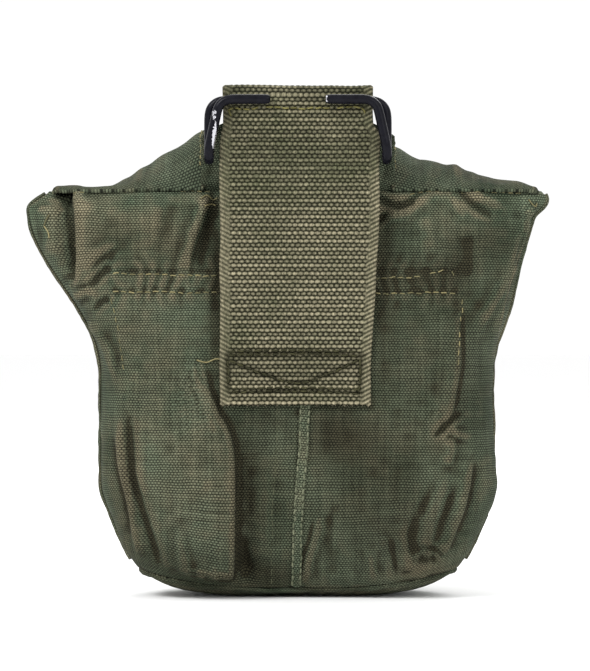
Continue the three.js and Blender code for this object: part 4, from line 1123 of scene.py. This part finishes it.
wear_and_highlight = (0.62 * weave - 0.1 + 0.20 * ease(110, 60, S) + 0.25 * lumps(X, S, 14, 96)
        + 0.5 * (1 - ease(0.3, 2.2, inset)) + 0.7 * (1 - ease(0.5, 2.4, S)))
wear_and_highlight += (0.25 * spot(X, S, -10, 8, 16, 3, 1.0) + 0.5 * spot(X, S, 12, 52, 12, 22, 0.5)
         - 0.3 * spot(X, S, 10, 90, 22, 9, 1.0))
# the (1 - weave) ** 2 term darkens the gaps between the yarns: painted shade
soil_and_shade = (0.8 * pull + 0.25 * (1 - weave) ** 2
        + 0.35 * ease(85, 112, S) * (1 - ease(120, 135, S)) * (0.6 + lumps(X, S, 10, 97))
        + 0.3 * spot(X, S, 0, 14, 30, 6, 1.0))
strap = cloth("hanger_webbing", face, WEBBING - 0.3, np.stack([X, S], -1) * 0.001, (0, -400, 120),
              wear_and_highlight=np.clip(wear_and_highlight, 0, 1), soil_and_shade=np.clip(soil_and_shade, 0, 1))


def webbing_finish():
    """Cotton webbing: thick yarns, olive in the gaps and bleached tan where they stand up, with painted shade
    darkening the gaps and painted highlight on the tops.
    """
    material, tree, shader = start_finish("tan_webbing", 0.93, specular=0.1)
    flat = weave_place(tree)
    wear_and_highlight, soil_and_shade = attribute(tree, "wear_and_highlight"), attribute(tree, "soil_and_shade")
    yarn = noise(tree, mapped(tree, flat, scale=(1400, 500, 1)), 1.0, 3, 0.7)
    blot, cloud = noise(tree, flat, 420, 3, 0.6), noise(tree, flat, 55, 3, 0.6)
    olive = mixed(tree, spread(tree, cloud, 0.35, 0.65), (0.085, 0.089, 0.050), (0.122, 0.116, 0.074))
    place = tree.nodes.new("ShaderNodeSeparateXYZ")
    tree.links.new(flat, place.inputs[0])
    sway = swing(tree, blot, 0.5, 0.55)
    pick = add(tree, times(tree, place.outputs[1], 1000 / PICK), sway)
    small = times(tree, maths(tree, "FLOORED_MODULO", maths(tree, "FLOOR", pick), 2.0), 0.5)
    end = add(tree, times(tree, place.outputs[0], 1000 / END), add(tree, small, sway))
    across = maths(tree, "ABSOLUTE", maths(tree, "SUBTRACT", maths(tree, "FRACT", end), 0.5))
    down = maths(tree, "ABSOLUTE", maths(tree, "SUBTRACT", maths(tree, "FRACT", pick), 0.5))
    gap = add(tree, times(tree, maths(tree, "POWER", across, 2.0), 3.3),
              times(tree, maths(tree, "POWER", down, 2.0), 4.2))
    gap = add(tree, gap, times(tree, small, 0.62))
    edge = attribute(tree, "selvage")
    knot = mixed(tree, edge, spread(tree, gap, 0.20, 1.18, 1.0, 0.0), attribute(tree, "rib"))
    share = add(tree, wear_and_highlight, swing(tree, blot, 0.52, 1.3), clamp=True)
    share = times(tree, share, add(tree, times(tree, knot, 0.75), 0.25), clamp=True)
    tan = mixed(tree, share, olive, (0.262, 0.232, 0.158))
    dark = mixed(tree, times(tree, soil_and_shade, 0.9, clamp=True), tan, (0.026, 0.025, 0.013))
    # painted shade in the gaps between the knots, and painted highlight on their tops
    deep = mixed(tree, knot, (0.13, 0.13, 0.11), (1.16, 1.17, 1.14))
    speck = mixed(tree, spread(tree, yarn, 0.32, 0.66), (0.48, 0.48, 0.48), (1.4, 1.4, 1.4))
    tree.links.new(mixed(tree, 1.0, mixed(tree, 1.0, dark, deep, "MULTIPLY"), speck, "MULTIPLY"),
                   shader.inputs["Base Color"])
    bumped(tree, shader, yarn, 0.0003)
    return material


set_numbers(strap, "selvage", np.tile((1 - ease(3.0, 4.2, inset)).ravel(), 2))
set_numbers(strap, "rib", np.tile((0.25 + 0.75 * ribs).ravel(), 2))
tan_webbing = webbing_finish()
strap.data.materials.append(tan_webbing)
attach(strap, "cover")
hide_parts("hanger_strap")
strap_tree = tree_of(strap)
box_rows, fray = [], []
for k, line in enumerate(box_lines):
    for near in ((0, 0.0), (1, 1.5)) if k in (0, 2) else ((0, 0.0),):
        pts = smooth_line(line, 60) + [0, near[1]]
        places, facings = laid(strap_tree, pts)
        box_rows += stitches(places, facings, 2.5, 0.75, 0.38, 160 + 9 * k + near[0], rise=0.5, sink=0.5)
strap_stitches = made_of("strap_box_stitches", box_rows, dark_thread, "cover")
top_rows = []
for k, line in enumerate([
    [(-27, 4.4), (-24, 3.2), (-18, 3.4), (-13, 2.6)], [(-13, 2.8), (0, 3.2), (14, 3)],
    [(14, 3), (22, 2.7), (24.5, 4), (25.4, 7)], [(-26.5, 3.5), (-25, 6), (-23.5, 7.6)],
]):
    line = [(x0, HOOK_Z - below) for x0, below in line]
    places, facings = laid(strap_tree, smooth_line(line, 30))
    top_rows += stitches(places, facings, 2.6, 0.5, 0.36, 190 + k, rise=0.42, sink=0.3)
yellow_thread = thread_finish("yellow_thread", (0.07, 0.065, 0.02), (0.22, 0.20, 0.07))
loop_stitches = made_of("strap_loop_stitches", top_rows, yellow_thread, "cover")
rng = np.random.default_rng(5)
for _ in range(150):
    x0 = rng.uniform(-28.8, 27.2)
    root = on_back(strap_tree, x0, 74.6 + rng.uniform(0, 0.5))
    if root is None:
        continue
    p = root[0] - root[1] * rng.uniform(0.2, 1.8)
    lean, fall = rng.normal(0, 0.7), rng.uniform(0.7, 1.7)
    t = np.linspace(0, 1, 5)[:, None]
    fray.append(tube(p + t * [lean, 0, -fall] + t * t * [rng.normal(0, 0.5), rng.normal(0, 0.4), 0],
                     0.15 * (1.15 - t[:, 0]), 4))
for side in (-1, 1):
    for _ in range(46):
        at = rng.uniform(76, HOOK_Z - 8)
        edge_x = -29.2 if side < 0 else 27.3 + 3.3 * float(ease(8, 80, at - SEWN_END))
        root = on_back(strap_tree, edge_x - side * 0.9, at)
        if root is None:
            continue
        t = np.linspace(0, 1, 5)[:, None]
        reach = rng.uniform(0.6, 1.5)
        fray.append(tube(root[0] - root[1] * 0.6 + t * [side * reach, 0, rng.normal(0, 0.5)],
                         0.09 * (1.2 - t[:, 0]), 4))
bleached_thread = thread_finish("bleached_thread", (0.14, 0.125, 0.08), (0.33, 0.29, 0.20))
frayed = made_of("strap_frayed_end", fray, bleached_thread, "cover")

# ---- The belt hook ----
# Steel wire bent cold into a double hook and blackened. Its two ends meet across the strap's
# front; the enamel is chipped through to bright steel at the cut ends, and painted glints of bright
# steel run down the legs and along the top of the bar.


def wire_finish():
    """Black enamelled wire, glossy, chipped to steel in random spots, with painted glints of bright steel
    where the piece's own numbers mark them.
    """
    material, tree, shader = start_finish("black_wire", 0.28, metallic=0.0, specular=0.09)
    where = object_place(tree)
    chip = noise(tree, where, 420, 5, 0.7)
    patchy = noise(tree, where, 70, 3, 0.6)
    bright_metal = maths(tree, "GREATER_THAN",
                 add(tree, times(tree, chip, 0.6),
                     add(tree, attribute(tree, "glint_and_wear"), times(tree, patchy, 0.25))), 0.86)
    tree.links.new(mixed(tree, bright_metal,
                         mixed(tree, spread(tree, chip, 0.3, 0.7), (0.003, 0.003, 0.005),
                               (0.008, 0.008, 0.012)), (0.62, 0.62, 0.66)), shader.inputs["Base Color"])
    tree.links.new(times(tree, bright_metal, 0.9), shader.inputs["Metallic"])
    tree.links.new(spread(tree, chip, 0.25, 0.75, 0.14, 0.30), shader.inputs["Roughness"])
    bumped(tree, shader, maths(tree, "SUBTRACT", times(tree, chip, 0.4), times(tree, bright_metal, 0.6)), 0.0002, 0.5)
    return material


def copied(node, name):
    """A copy of a fixed part's own shape, its loose triangles joined up, ready to be worked on."""
    obj = bpy.data.objects.new(name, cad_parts[node].data.copy())
    bpy.context.scene.collection.objects.link(obj)
    for key in list(obj.keys()):
        del obj[key]
    only(obj)
    bpy.ops.object.mode_set(mode="EDIT")
    bpy.ops.mesh.select_all(action="SELECT")
    bpy.ops.mesh.remove_doubles(threshold=1e-6)
    bpy.ops.object.mode_set(mode="OBJECT")
    obj.data.materials.clear()
    return obj


def modified(obj, kind, **settings):
    """Adds a modifier to a piece and applies it."""
    bpy.context.view_layer.objects.active = obj
    modifier = obj.modifiers.new(kind.lower(), kind)
    for key, value in settings.items():
        setattr(modifier, key, value)
    bpy.ops.object.modifier_apply(modifier=modifier.name)


hook = copied("belt_hook", "wire_hook")
bpy.ops.object.mode_set(mode="EDIT")
bpy.ops.mesh.select_all(action="SELECT")
bpy.ops.mesh.tris_convert_to_quads(face_threshold=1.2, shape_threshold=1.2)
bpy.ops.object.mode_set(mode="OBJECT")
modified(hook, "SUBSURF", levels=2, render_levels=2)
modified(hook, "DISPLACE", strength=0.00022, mid_level=0.0)
bpy.ops.object.shade_smooth_by_angle(angle=math.radians(50))
co = np.array([v.co for v in hook.data.vertices]) * 1000
before_strap = co[:, 1] < HOOK_Y - 4
# painted glints of bright steel down the inner leg, on the right leg and along the top of the bar; the cut
# ends are chipped to steel
inner_leg = np.exp(-((co[:, 0] + 31.2) / 1.6) ** 2) * ease(HOOK_Z - 23, HOOK_Z - 18, co[:, 2])
inner_leg = inner_leg * (1 - ease(HOOK_Z - 5, HOOK_Z - 1, co[:, 2])) * before_strap
ends = (np.abs(np.abs(co[:, 0]) - 10.5) < 0.7) * before_strap * 1.0
tops = np.exp(-((co[:, 0] + 27) / 3) ** 2) * (co[:, 2] > HOOK_Z + 0.8) * before_strap * 0.8
right_leg = (np.exp(-((co[:, 0] - 32.5) / 1.5) ** 2) * before_strap * ease(HOOK_Z - 12, HOOK_Z - 8, co[:, 2])
             * 0.35)
set_numbers(hook, "glint_and_wear", 0.42 * np.clip(inner_leg * 1.3 + ends + tops + right_leg, 0, 1.2))
hook.data.materials.append(wire_finish())
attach(hook, "hook")
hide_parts("belt_hook")

# ---- The flaps ----
# Two shoulders of duck, sewn to the back's top edge, that close over the bottle's shoulders. Each
# is darted so that it rises beside the neck, and its front edge carries the tongue.


def flap_grid(side, rows=96, columns=104):
    u = np.linspace(0, 1, rows)[:, None]
    v = np.linspace(0, 1, columns)[None, :]
    reach = 93.5 if side < 0 else 91.5
    x = 35.4 + (reach - 35.4) * v + 0 * u
    rear, fore = side_y(-1, np.minimum(x, 94), 155.0), side_y(1, np.minimum(x, 94), 155.0, 4.1)
    y = rear + (fore - rear) * u - 1.0 * (1 - ease(0, 0.06, u))
    if side > 0:
        ridge = np.interp(x, (36, 38, 47, 54, 61, 69, 82, 92), (17.4, 16.4, 11.6, 10.2, 8.4, 4.6, 2.4, 0.4))
    else:
        ridge = 23.3 * np.maximum(0, 1 - (x - 36.2) / 36) ** 1.1 + spot(x, 0 * x, 88, 0, 5, 1, 0.9)
    calm = 0.5
    z = 156.4 + ridge * np.sin(np.pi * u) ** 0.9
    soft = ease(0, 0.12, u) * ease(1, 0.88, u) + 0.25
    z += (calm * soft * (0.8 * lumps(x * side, y, 15, 101) + 0.45 * lumps(x * side, y * 0.8, 6.5, 102)
                         + 0.15 * lumps(x, y, 3, 103)))
    z += calm * soft * 0.8 * np.sin(x * 0.55 + 2.5 * lumps(x, y, 16, 104)) * ease(20, -10, y) * 0.6
    # the seam at the back sinks, and the outer and front edges turn down
    z -= (1.3 * (1 - ease(0, 0.06, u))
          + 2.0 * (1 - np.sqrt(1 - 0.98 * np.clip((v - 0.965) / 0.035, 0, 1) ** 2)))
    z -= 1.9 * (1 - np.sqrt(1 - 0.98 * np.clip((u - 0.965) / 0.035, 0, 1) ** 2))
    z = np.maximum(z, 154.75)
    return np.stack([x * side, y, z], -1)


for side, name in ((-1, "left"), (1, "right")):
    grid = flap_grid(side)
    x, y, z = grid[..., 0], grid[..., 1], grid[..., 2]
    # ridges lighter, partly abrasion and partly painted highlight; hollows darker, painted shade
    rise = z - 0.5 * (np.roll(z, 3, 1) + np.roll(z, -3, 1))
    wear_and_highlight = np.clip(rise * 2.2, 0, 0.6) + 0.15 * lumps(x, y, 12, 105) + 0.25 * (np.abs(x) > 62)
    soil_and_shade = np.clip(-rise * 1.6, 0, 0.6) + 0.10
    flap = cloth("canvas_flap_" + name, grid, 1.4, flat_place(grid), (side * 60, 0, 400), wear_and_highlight=wear_and_highlight,
                 soil_and_shade=soil_and_shade)
    flap.data.materials.append(canvas_yoke)
    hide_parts("flap_" + name)
    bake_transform(flap)
    flap_tree = tree_of(flap)
    rows = []
    across = np.linspace(37, 86, 70)
    inner_row = np.stack([np.full(60, side * 37.2), np.linspace(13, -30, 60)], 1)
    front_row = np.stack([side * across, side_y(1, across, 155.0, 4.1) - 3.6], 1)
    for k, pts in enumerate((inner_row, front_row)):
        found = [flap_tree.ray_cast(Vector((a, b, 300)), Vector((0, 0, -1))) for a, b in pts]
        found = [f for f in found if f[0] is not None]
        places = np.array([np.array(f[0]) for f in found])
        facings = np.array([np.array(f[1]) for f in found])
        rows += stitches(places, facings, 2.4, 0.8, 0.25, 200 + k, rise=0.15)
    flap_stitches = made_of("flap_stitches_" + name, rows, pale_thread)
    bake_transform(flap_stitches)

# ---- The tongues ----
# Each flap ends in a tongue of doubled duck with a rounded tip, stitched round its edge, that
# hangs down the front and holds the snap's cap.


def tongue_at(u, v, outset):
    z = 156.0 - 44.2 * u + 0 * v
    tip = np.maximum(0, 4 * u - 3)
    half = (17 - 4 * u) * np.sqrt(np.maximum(0.02, 1 - 0.9 * tip * tip))
    x = 53 - 8 * u + half * (2 * v - 1)
    return x, side_y(1, x, np.minimum(z, 154.8), outset), z


for side, name in ((-1, "left"), (1, "right")):
    u = np.linspace(0, 1, 96)[:, None]
    v = np.linspace(0, 1, 74)[None, :]
    x, y, z = tongue_at(u, v, 4.2)
    edge_v = np.minimum(v, 1 - v) * 30
    y = (y - 0.9 * (1 - np.clip(np.minimum(edge_v, (1 - u) * 44) / 1.4, 0, 1) ** 0.5)
         - 1.6 * (1 - ease(0, 0.05, u)))
    groove = np.exp(-((np.minimum(edge_v, (1 - u) * 44) - 3.4) / 0.8) ** 2)
    y = y - 0.4 * groove + 0.35 * lumps(x, z, 10, 110) * ease(0, 0.1, u) + 0.12 * lumps(x, z, 3, 111)
    y = y + 0.4 * np.exp(-((np.hypot(x - 47.29, (z - 124) * 1.05) - 9.5) / 2.2) ** 2)
    grid = np.stack([x * side, y, z + 0 * x], -1)
    wear_and_highlight = (0.25 + 0.5 * (1 - np.clip(np.minimum(edge_v, (1 - u) * 44) / 1.6, 0, 1))
            + 0.2 * lumps(x, z, 8, 112))
    tongue = cloth("canvas_tongue_" + name, grid, 1.6, flat_place(grid), (side * 50, 400, 130), wear_and_highlight=wear_and_highlight,
                   soil_and_shade=0.5 * groove)
    tongue.data.materials.append(canvas_green)
    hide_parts("tongue_" + name)
    top, low = (side * 0.0531, 0.0089, 0.1558), (side * 0.0531, 0.0089, 0.1478)
    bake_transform(tongue)
    tongue_tree = tree_of(tongue)
    t = np.linspace(0, 1, 130)
    round_tip = 0.84 + 0.075 * np.sin((t - 0.4) / 0.2 * np.pi)
    u_line = np.where(t > 0.6, (1 - t) / 0.4 * 0.80 + 0.04, round_tip)
    u_line = np.where(t < 0.4, t / 0.4 * 0.80 + 0.04, u_line)
    v_line = np.where(t < 0.4, 0.11, np.where(t > 0.6, 0.89, 0.11 + 0.78 * (t - 0.4) / 0.2))
    x, y, z = tongue_at(u_line, v_line, 4.2)
    found = [tongue_tree.find_nearest(Vector((side * a, b, c))) for a, b, c in zip(x, y, z)]
    places = np.array([np.array(f[0]) for f in found])
    facings = np.tile([side * 0.4, 0.85, 0.3], (len(places), 1))
    rows = stitches(smoothed(places, 2), facings, 2.4, 0.7, 0.26, 220 + side, rise=0.2)
    tongue_stitches = made_of("tongue_stitches_" + name, rows, pale_thread)
    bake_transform(tongue_stitches)

# ---- The snaps ----
# Pressed brass, blackened, worn yellow at the rims. The cap's socket is clinched through the
# tongue to a ring behind it, and the stud is riveted through the front panel to a washer.


def brass_finish():
    """Black-lacquered brass, abraded through to the metal on its high edges."""
    material, tree, shader = start_finish("black_brass", 0.42, metallic=0.85)
    where = object_place(tree)
    scratch, patchy = noise(tree, where, 900, 5, 0.75), noise(tree, where, 180, 3, 0.6)
    edge = tree.nodes.new("ShaderNodeNewGeometry").outputs["Pointiness"]
    bright_metal = spread(tree, add(tree, times(tree, scratch, 0.5), times(tree, edge, 1.4)), 1.02, 1.14)
    dark = mixed(tree, spread(tree, patchy, 0.35, 0.65), (0.022, 0.022, 0.018), (0.052, 0.046, 0.030))
    tree.links.new(mixed(tree, bright_metal, dark, (0.46, 0.33, 0.13)), shader.inputs["Base Color"])
    tree.links.new(spread(tree, scratch, 0.3, 0.7, 0.28, 0.6), shader.inputs["Roughness"])
    bumped(tree, shader, scratch, 0.0001)
    return material


black_brass = brass_finish()


def turned(name, profile, around=48):
    """A piece spun round +Z from its profile of (radius, height) points in mm."""
    mesh = bpy.data.meshes.new(name)
    corners = [(r * 0.001, 0, h * 0.001) for r, h in profile]
    mesh.from_pydata(corners, [(i, i + 1) for i in range(len(corners) - 1)], [])
    obj = bpy.data.objects.new(name, mesh)
    bpy.context.scene.collection.objects.link(obj)
    only(obj)
    bpy.ops.object.mode_set(mode="EDIT")
    bpy.ops.mesh.select_all(action="SELECT")
    bpy.ops.mesh.spin(steps=around, angle=2 * math.pi, center=(0, 0, 0), axis=(0, 0, 1))
    bpy.ops.mesh.select_all(action="SELECT")
    bpy.ops.mesh.remove_doubles(threshold=2e-6)
    bpy.ops.mesh.normals_make_consistent(inside=False)
    bpy.ops.object.mode_set(mode="OBJECT")
    bpy.ops.object.shade_smooth_by_angle(angle=math.radians(35))
    return obj


def rounded_profile(points, radius):
    """A profile whose corners are rounded, from its corners."""
    out = [points[0]]
    for before, corner, after in zip(points, points[1:], points[2:]):
        a, b, c = (np.array(p, float) for p in (before, corner, after))
        cut = min(radius, np.linalg.norm(a - b) * 0.45, np.linalg.norm(c - b) * 0.45)
        start = b + (a - b) / max(1e-6, np.linalg.norm(a - b)) * cut
        end = b + (c - b) / max(1e-6, np.linalg.norm(c - b)) * cut
        for t in (0, 0.33, 0.67, 1):
            out.append(tuple((1 - t) ** 2 * start + 2 * t * (1 - t) * b + t * t * end))
    return out + [points[-1]]


SNAP_CAP = rounded_profile([(4.6, 4.5), (7.4, 4.5), (7.5, 5.3), (6.6, 6.9), (5.0, 7.75), (4.1, 7.35),
                            (2.6, 7.25), (0, 7.25)], 0.35) + [(0, 6.6), (4.5, 6.5), (4.6, 4.5)]
SNAP_RING = rounded_profile([(4.7, 1.9), (6.4, 1.85), (6.3, 2.3), (4.9, 2.4), (4.7, 1.9)], 0.15)
SNAP_POST = rounded_profile([(0, -1.3), (1.9, -1.3), (1.9, 0.1), (5.5, 0.1), (5.3, 0.45), (2.1, 0.7),
                             (1.9, 3.3), (2.5, 3.9), (2.4, 4.8), (1.4, 5.1), (0, 5.1)], 0.2)
SNAP_WASHER = rounded_profile([(2.1, -1.55), (3.5, -1.5), (3.6, -1.2), (2.1, -1.15), (2.1, -1.55)], 0.1)

for side, name in ((-1, "left"), (1, "right")):
    facing = Vector((side * 0.444, 0.8185, 0.3645)).normalized()
    seat = (Matrix.Translation(Vector((side * 47.29, 18.14, 124.0))
                               * 0.001) @ facing.to_track_quat("Z", "Y").to_matrix().to_4x4())
    pieces = {
        "snap_cap_": (SNAP_CAP, "snap_socket_", name + "_tongue"),
        "snap_ring_": (SNAP_RING, "clinch_ring_", name + "_tongue"),
        "snap_post_": (SNAP_POST, "snap_stud_", "cover"),
        "snap_washer_": (SNAP_WASHER, "stud_washer_", "cover"),
    }
    for label, (profile, node, body) in pieces.items():
        piece = turned(label + name, profile)
        piece.data.transform(seat)
        piece.data.materials.append(black_brass)
        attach(piece, body)
        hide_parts(node + name)

# ---- The bottle ----
# Two pressed halves of aluminium welded round the edge into a kidney-shaped flask, etched to a
# dull satin grey, with a screwed neck welded into its shoulder.


def aluminium_finish(name, dark, light, rough):
    material, tree, shader = start_finish(name, rough, metallic=1.0)
    where = object_place(tree)
    brushed = noise(tree, mapped(tree, where, scale=(1, 1, 14)), 260, 4, 0.7)
    cloud, dent = noise(tree, where, 45, 4, 0.6), noise(tree, where, 28, 2)
    tree.links.new(mixed(tree, spread(tree, cloud, 0.35, 0.65), dark, light), shader.inputs["Base Color"])
    tree.links.new(spread(tree, brushed, 0.3, 0.7, rough - 0.1, rough + 0.14), shader.inputs["Roughness"])
    bumped(tree, shader, add(tree, times(tree, brushed, 0.1), dent), 0.0004, 0.6)
    return material


satin_aluminium = aluminium_finish("satin_aluminium", (0.34, 0.345, 0.345), (0.50, 0.505, 0.50), 0.42)
bottle = copied("bottle_body", "aluminium_bottle")
bpy.ops.object.mode_set(mode="EDIT")
bpy.ops.mesh.select_all(action="SELECT")
bpy.ops.mesh.tris_convert_to_quads(face_threshold=1.0, shape_threshold=1.2)
bpy.ops.object.mode_set(mode="OBJECT")
modified(bottle, "SUBSURF", levels=1, render_levels=1)
modified(bottle, "SUBSURF", levels=1, render_levels=1)
bpy.ops.object.shade_smooth_by_angle(angle=math.radians(50))
bottle.data.materials.append(satin_aluminium)
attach(bottle, "cover")
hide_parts("bottle_body")
neck_low, neck_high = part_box("threaded_neck")
foot, lip = neck_low.z * 1000, neck_high.z * 1000
neck = turned("bottle_neck",
              rounded_profile([(13.5, foot), (16.6, foot), (15.9, foot + 0.9), (15.0, foot + 1.8),
                               (15.0, lip - 0.8), (14.3, lip), (13.5, lip - 0.4), (13.5, foot)], 0.45), 72)
neck.data.materials.append(satin_aluminium)
helix = np.linspace(0, 1.75 * 2 * np.pi, 190)
swell = 0.85 * np.minimum(1, np.minimum(helix, helix[-1] - helix) / 0.5) ** 0.5 + 0.02
thread_line = np.stack([15 * np.cos(helix), 15 * np.sin(helix),
                        lip - 1.6 - 4.2 * 1.75 + 4.2 * helix / (2 * np.pi)], 1)
screw = made_of("neck_thread", [tube(thread_line, swell, 10)], satin_aluminium)
only(neck, screw)
bpy.ops.object.join()
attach(neck, "cover")
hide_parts("threaded_neck")

# ---- The cap and its chain ----
# A black moulded cap with ribs to grip, a cork-coloured gasket pressed inside, and a steel swivel
# riveted through its crown. The chain runs from the swivel to an eye on the neck's wire collar.


def moulded_finish():
    """Black phenolic: satin, with faint flow marks and grey scuffs."""
    material, tree, shader = start_finish("black_moulding", 0.38, specular=0.5)
    where = object_place(tree)
    scuff, flow = noise(tree, where, 600, 5, 0.75), noise(tree, where, 90, 4, 0.6)
    tree.links.new(mixed(tree, spread(tree, times(tree, scuff, flow), 0.24, 0.42), (0.012, 0.012, 0.011),
                         (0.045, 0.044, 0.040)), shader.inputs["Base Color"])
    tree.links.new(spread(tree, scuff, 0.3, 0.7, 0.30, 0.55), shader.inputs["Roughness"])
    bumped(tree, shader, scuff, 0.00015)
    return material


cap_low, cap_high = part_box("cap_shell")
rim, crown = cap_low.z * 1000, cap_high.z * 1000
cap_outline = [(15.98, rim), (18.6, rim), (19.1, rim + 0.5), (19.12, crown - 3.4), (18.2, crown - 2.1),
               (15.4, crown - 0.5), (9.0, crown - 0.1), (6.0, crown - 0.35), (1.6, crown - 0.4),
               (1.6, crown - 5.9), (4.1, crown - 6.0), (15.9, crown - 6.1), (15.98, rim)]
cap = turned("screw_cap", rounded_profile(cap_outline, 0.6), 256)
for vertex in cap.data.vertices:
    radius = math.hypot(vertex.co.x, vertex.co.y)
    if radius > 0.0172 and vertex.co.z * 1000 < crown - 1.2:
        turn = math.atan2(vertex.co.y, vertex.co.x) * 16 / (2 * math.pi) % 1
        dip = 0.85 * math.exp(-((turn - 0.5) / 0.13) ** 2) * min(1, (crown - 1.2 - vertex.co.z * 1000) / 1.2)
        vertex.co.xy *= 1 - dip * 0.001 / radius
cap.data.materials.append(moulded_finish())
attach(cap, "cap")
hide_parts("cap_shell")

cork, tree, shader = start_finish("cork_gasket", 0.95, specular=0.1)
where = object_place(tree)
tree.links.new(mixed(tree, spread(tree, noise(tree, where, 900, 4, 0.7), 0.35, 0.65), (0.10, 0.055, 0.028),
                     (0.36, 0.23, 0.12)), shader.inputs["Base Color"])
gasket_low, gasket_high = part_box("cap_gasket")
low, high = gasket_low.z * 1000, gasket_high.z * 1000
gasket = turned("gasket",
                rounded_profile([(0, low), (11.5, low), (12.2, low + 0.35), (15.5, low + 0.3),
                                 (16.4, low + 0.1), (16.4, high), (0, high)], 0.3), 64)
gasket.data.materials.append(cork)
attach(gasket, "cap")
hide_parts("cap_gasket")

bright_steel = aluminium_finish("dull_steel", (0.30, 0.30, 0.29), (0.46, 0.46, 0.45), 0.36)
swivel = copied("chain_swivel", "cap_swivel")
modified(swivel, "BEVEL", width=0.0002, segments=2, limit_method="ANGLE", angle_limit=0.7)
bpy.ops.object.shade_smooth_by_angle(angle=math.radians(45))
swivel.data.materials.append(bright_steel)
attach(swivel, "swivel")
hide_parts("chain_swivel")

turn = np.linspace(0, 2 * np.pi, 96, endpoint=False)
band = tube(np.stack([16.3 * np.cos(turn), 16.3 * np.sin(turn), 158.3 + 0 * turn], 1), 1.0, 12, closed=True)
small = np.linspace(0, 2 * np.pi, 28, endpoint=False)
eye_ring = tube(np.stack([2.6 * np.cos(small), 18.4 + 2.6 * np.sin(small) * 0.765,
                          158.3 + 2.6 * np.sin(small) * 0.644], 1), 0.85, 10, closed=True)
collar = made_of("neck_collar", [band, eye_ring], bright_steel, "cover")
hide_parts("chain_collar")

# The chain: oval links, each a quarter turn from the last.
chain_route = [(2.2, 3.2, 185.2), (3.6, 8.5, 185), (6, 15, 184.3), (8.2, 20.4, 182), (9.6, 23.2, 176),
               (10.4, 23.8, 169), (10.6, 24.2, 162), (9.4, 24.6, 157), (6.6, 24.9, 154.6), (3.6, 25, 154.8),
               (1.6, 24.6, 156.6)]
route = smooth_line(chain_route, 600)
run = run_of(route)
LINK, WIRE = 4.3, 0.45
count = int((run[-1] - LINK) / 2.75)
links = []
for k in range(count + 1):
    at = LINK / 2 + k * (run[-1] - LINK) / count
    centre = at_run(at, run, route)
    ahead = at_run(at + 0.8, run, route) - at_run(at - 0.8, run, route)
    ahead /= np.linalg.norm(ahead)
    side = np.cross(ahead, [0.3, 1, 0.2])
    side /= np.linalg.norm(side)
    over = np.cross(side, ahead)
    wide = side * math.cos(k * math.pi / 2 + 0.5) + over * math.sin(k * math.pi / 2 + 0.5)
    turn = np.linspace(0, 2 * np.pi, 14, endpoint=False)
    oval = centre + np.outer(np.cos(turn) * (LINK / 2 - WIRE), ahead) + np.outer(np.sin(turn) * 1.15, wide)
    links.append(tube(oval, WIRE, 6, facing=np.tile(np.cross(ahead, wide), (14, 1)), closed=True))
chain = made_of("cap_chain_links", links, bright_steel)
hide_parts("cap_chain")
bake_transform(chain)

# ---- The table top, the light and the view ----

bpy.ops.mesh.primitive_plane_add(size=30, location=(0, 0, -0.0003))
floor = bpy.context.object
floor.name = "table_top"
pale, tree, shader = start_finish("pale_table", 0.9, specular=0.1)
shader.inputs["Base Color"].default_value = (0.965, 0.965, 0.965, 1)
floor.data.materials.append(pale)

world = bpy.data.worlds.new("studio")
world.use_nodes = True
world.node_tree.nodes["Background"].inputs[0].default_value = (1, 1, 1, 1)
world.node_tree.nodes["Background"].inputs[1].default_value = 1.03
bpy.context.scene.world = world


def soft_light(name, place, size, power, aim=(0, 0, 0.09)):
    """A large square lamp turned towards the canteen."""
    lamp = bpy.data.lights.new(name, "AREA")
    lamp.shape, lamp.size, lamp.energy = "SQUARE", size, power
    obj = bpy.data.objects.new(name, lamp)
    obj.location = place
    obj.rotation_euler = (Vector(aim) - Vector(place)).to_track_quat("-Z", "Y").to_euler()
    bpy.context.scene.collection.objects.link(obj)


soft_light("window", (-1.1, -1.1, 1.5), 0.9, 26)
soft_light("front_fill", (0.9, -1.4, 0.9), 1.2, 7)
soft_light("back_light", (0.4, 1.5, 1.3), 1.2, 16)

lens = bpy.data.cameras.new("camera")
lens.lens, lens.sensor_width, lens.sensor_fit = 170, 36, "AUTO"
camera = bpy.data.objects.new("camera", lens)
camera.location = (-0.0011, -1.236, 0.0997)
camera.rotation_euler = (math.pi / 2, 0, 0)
lens.clip_start = 0.01
bpy.context.scene.collection.objects.link(camera)
bpy.context.scene.camera = camera
bpy.context.scene.view_settings.view_transform = "Standard"
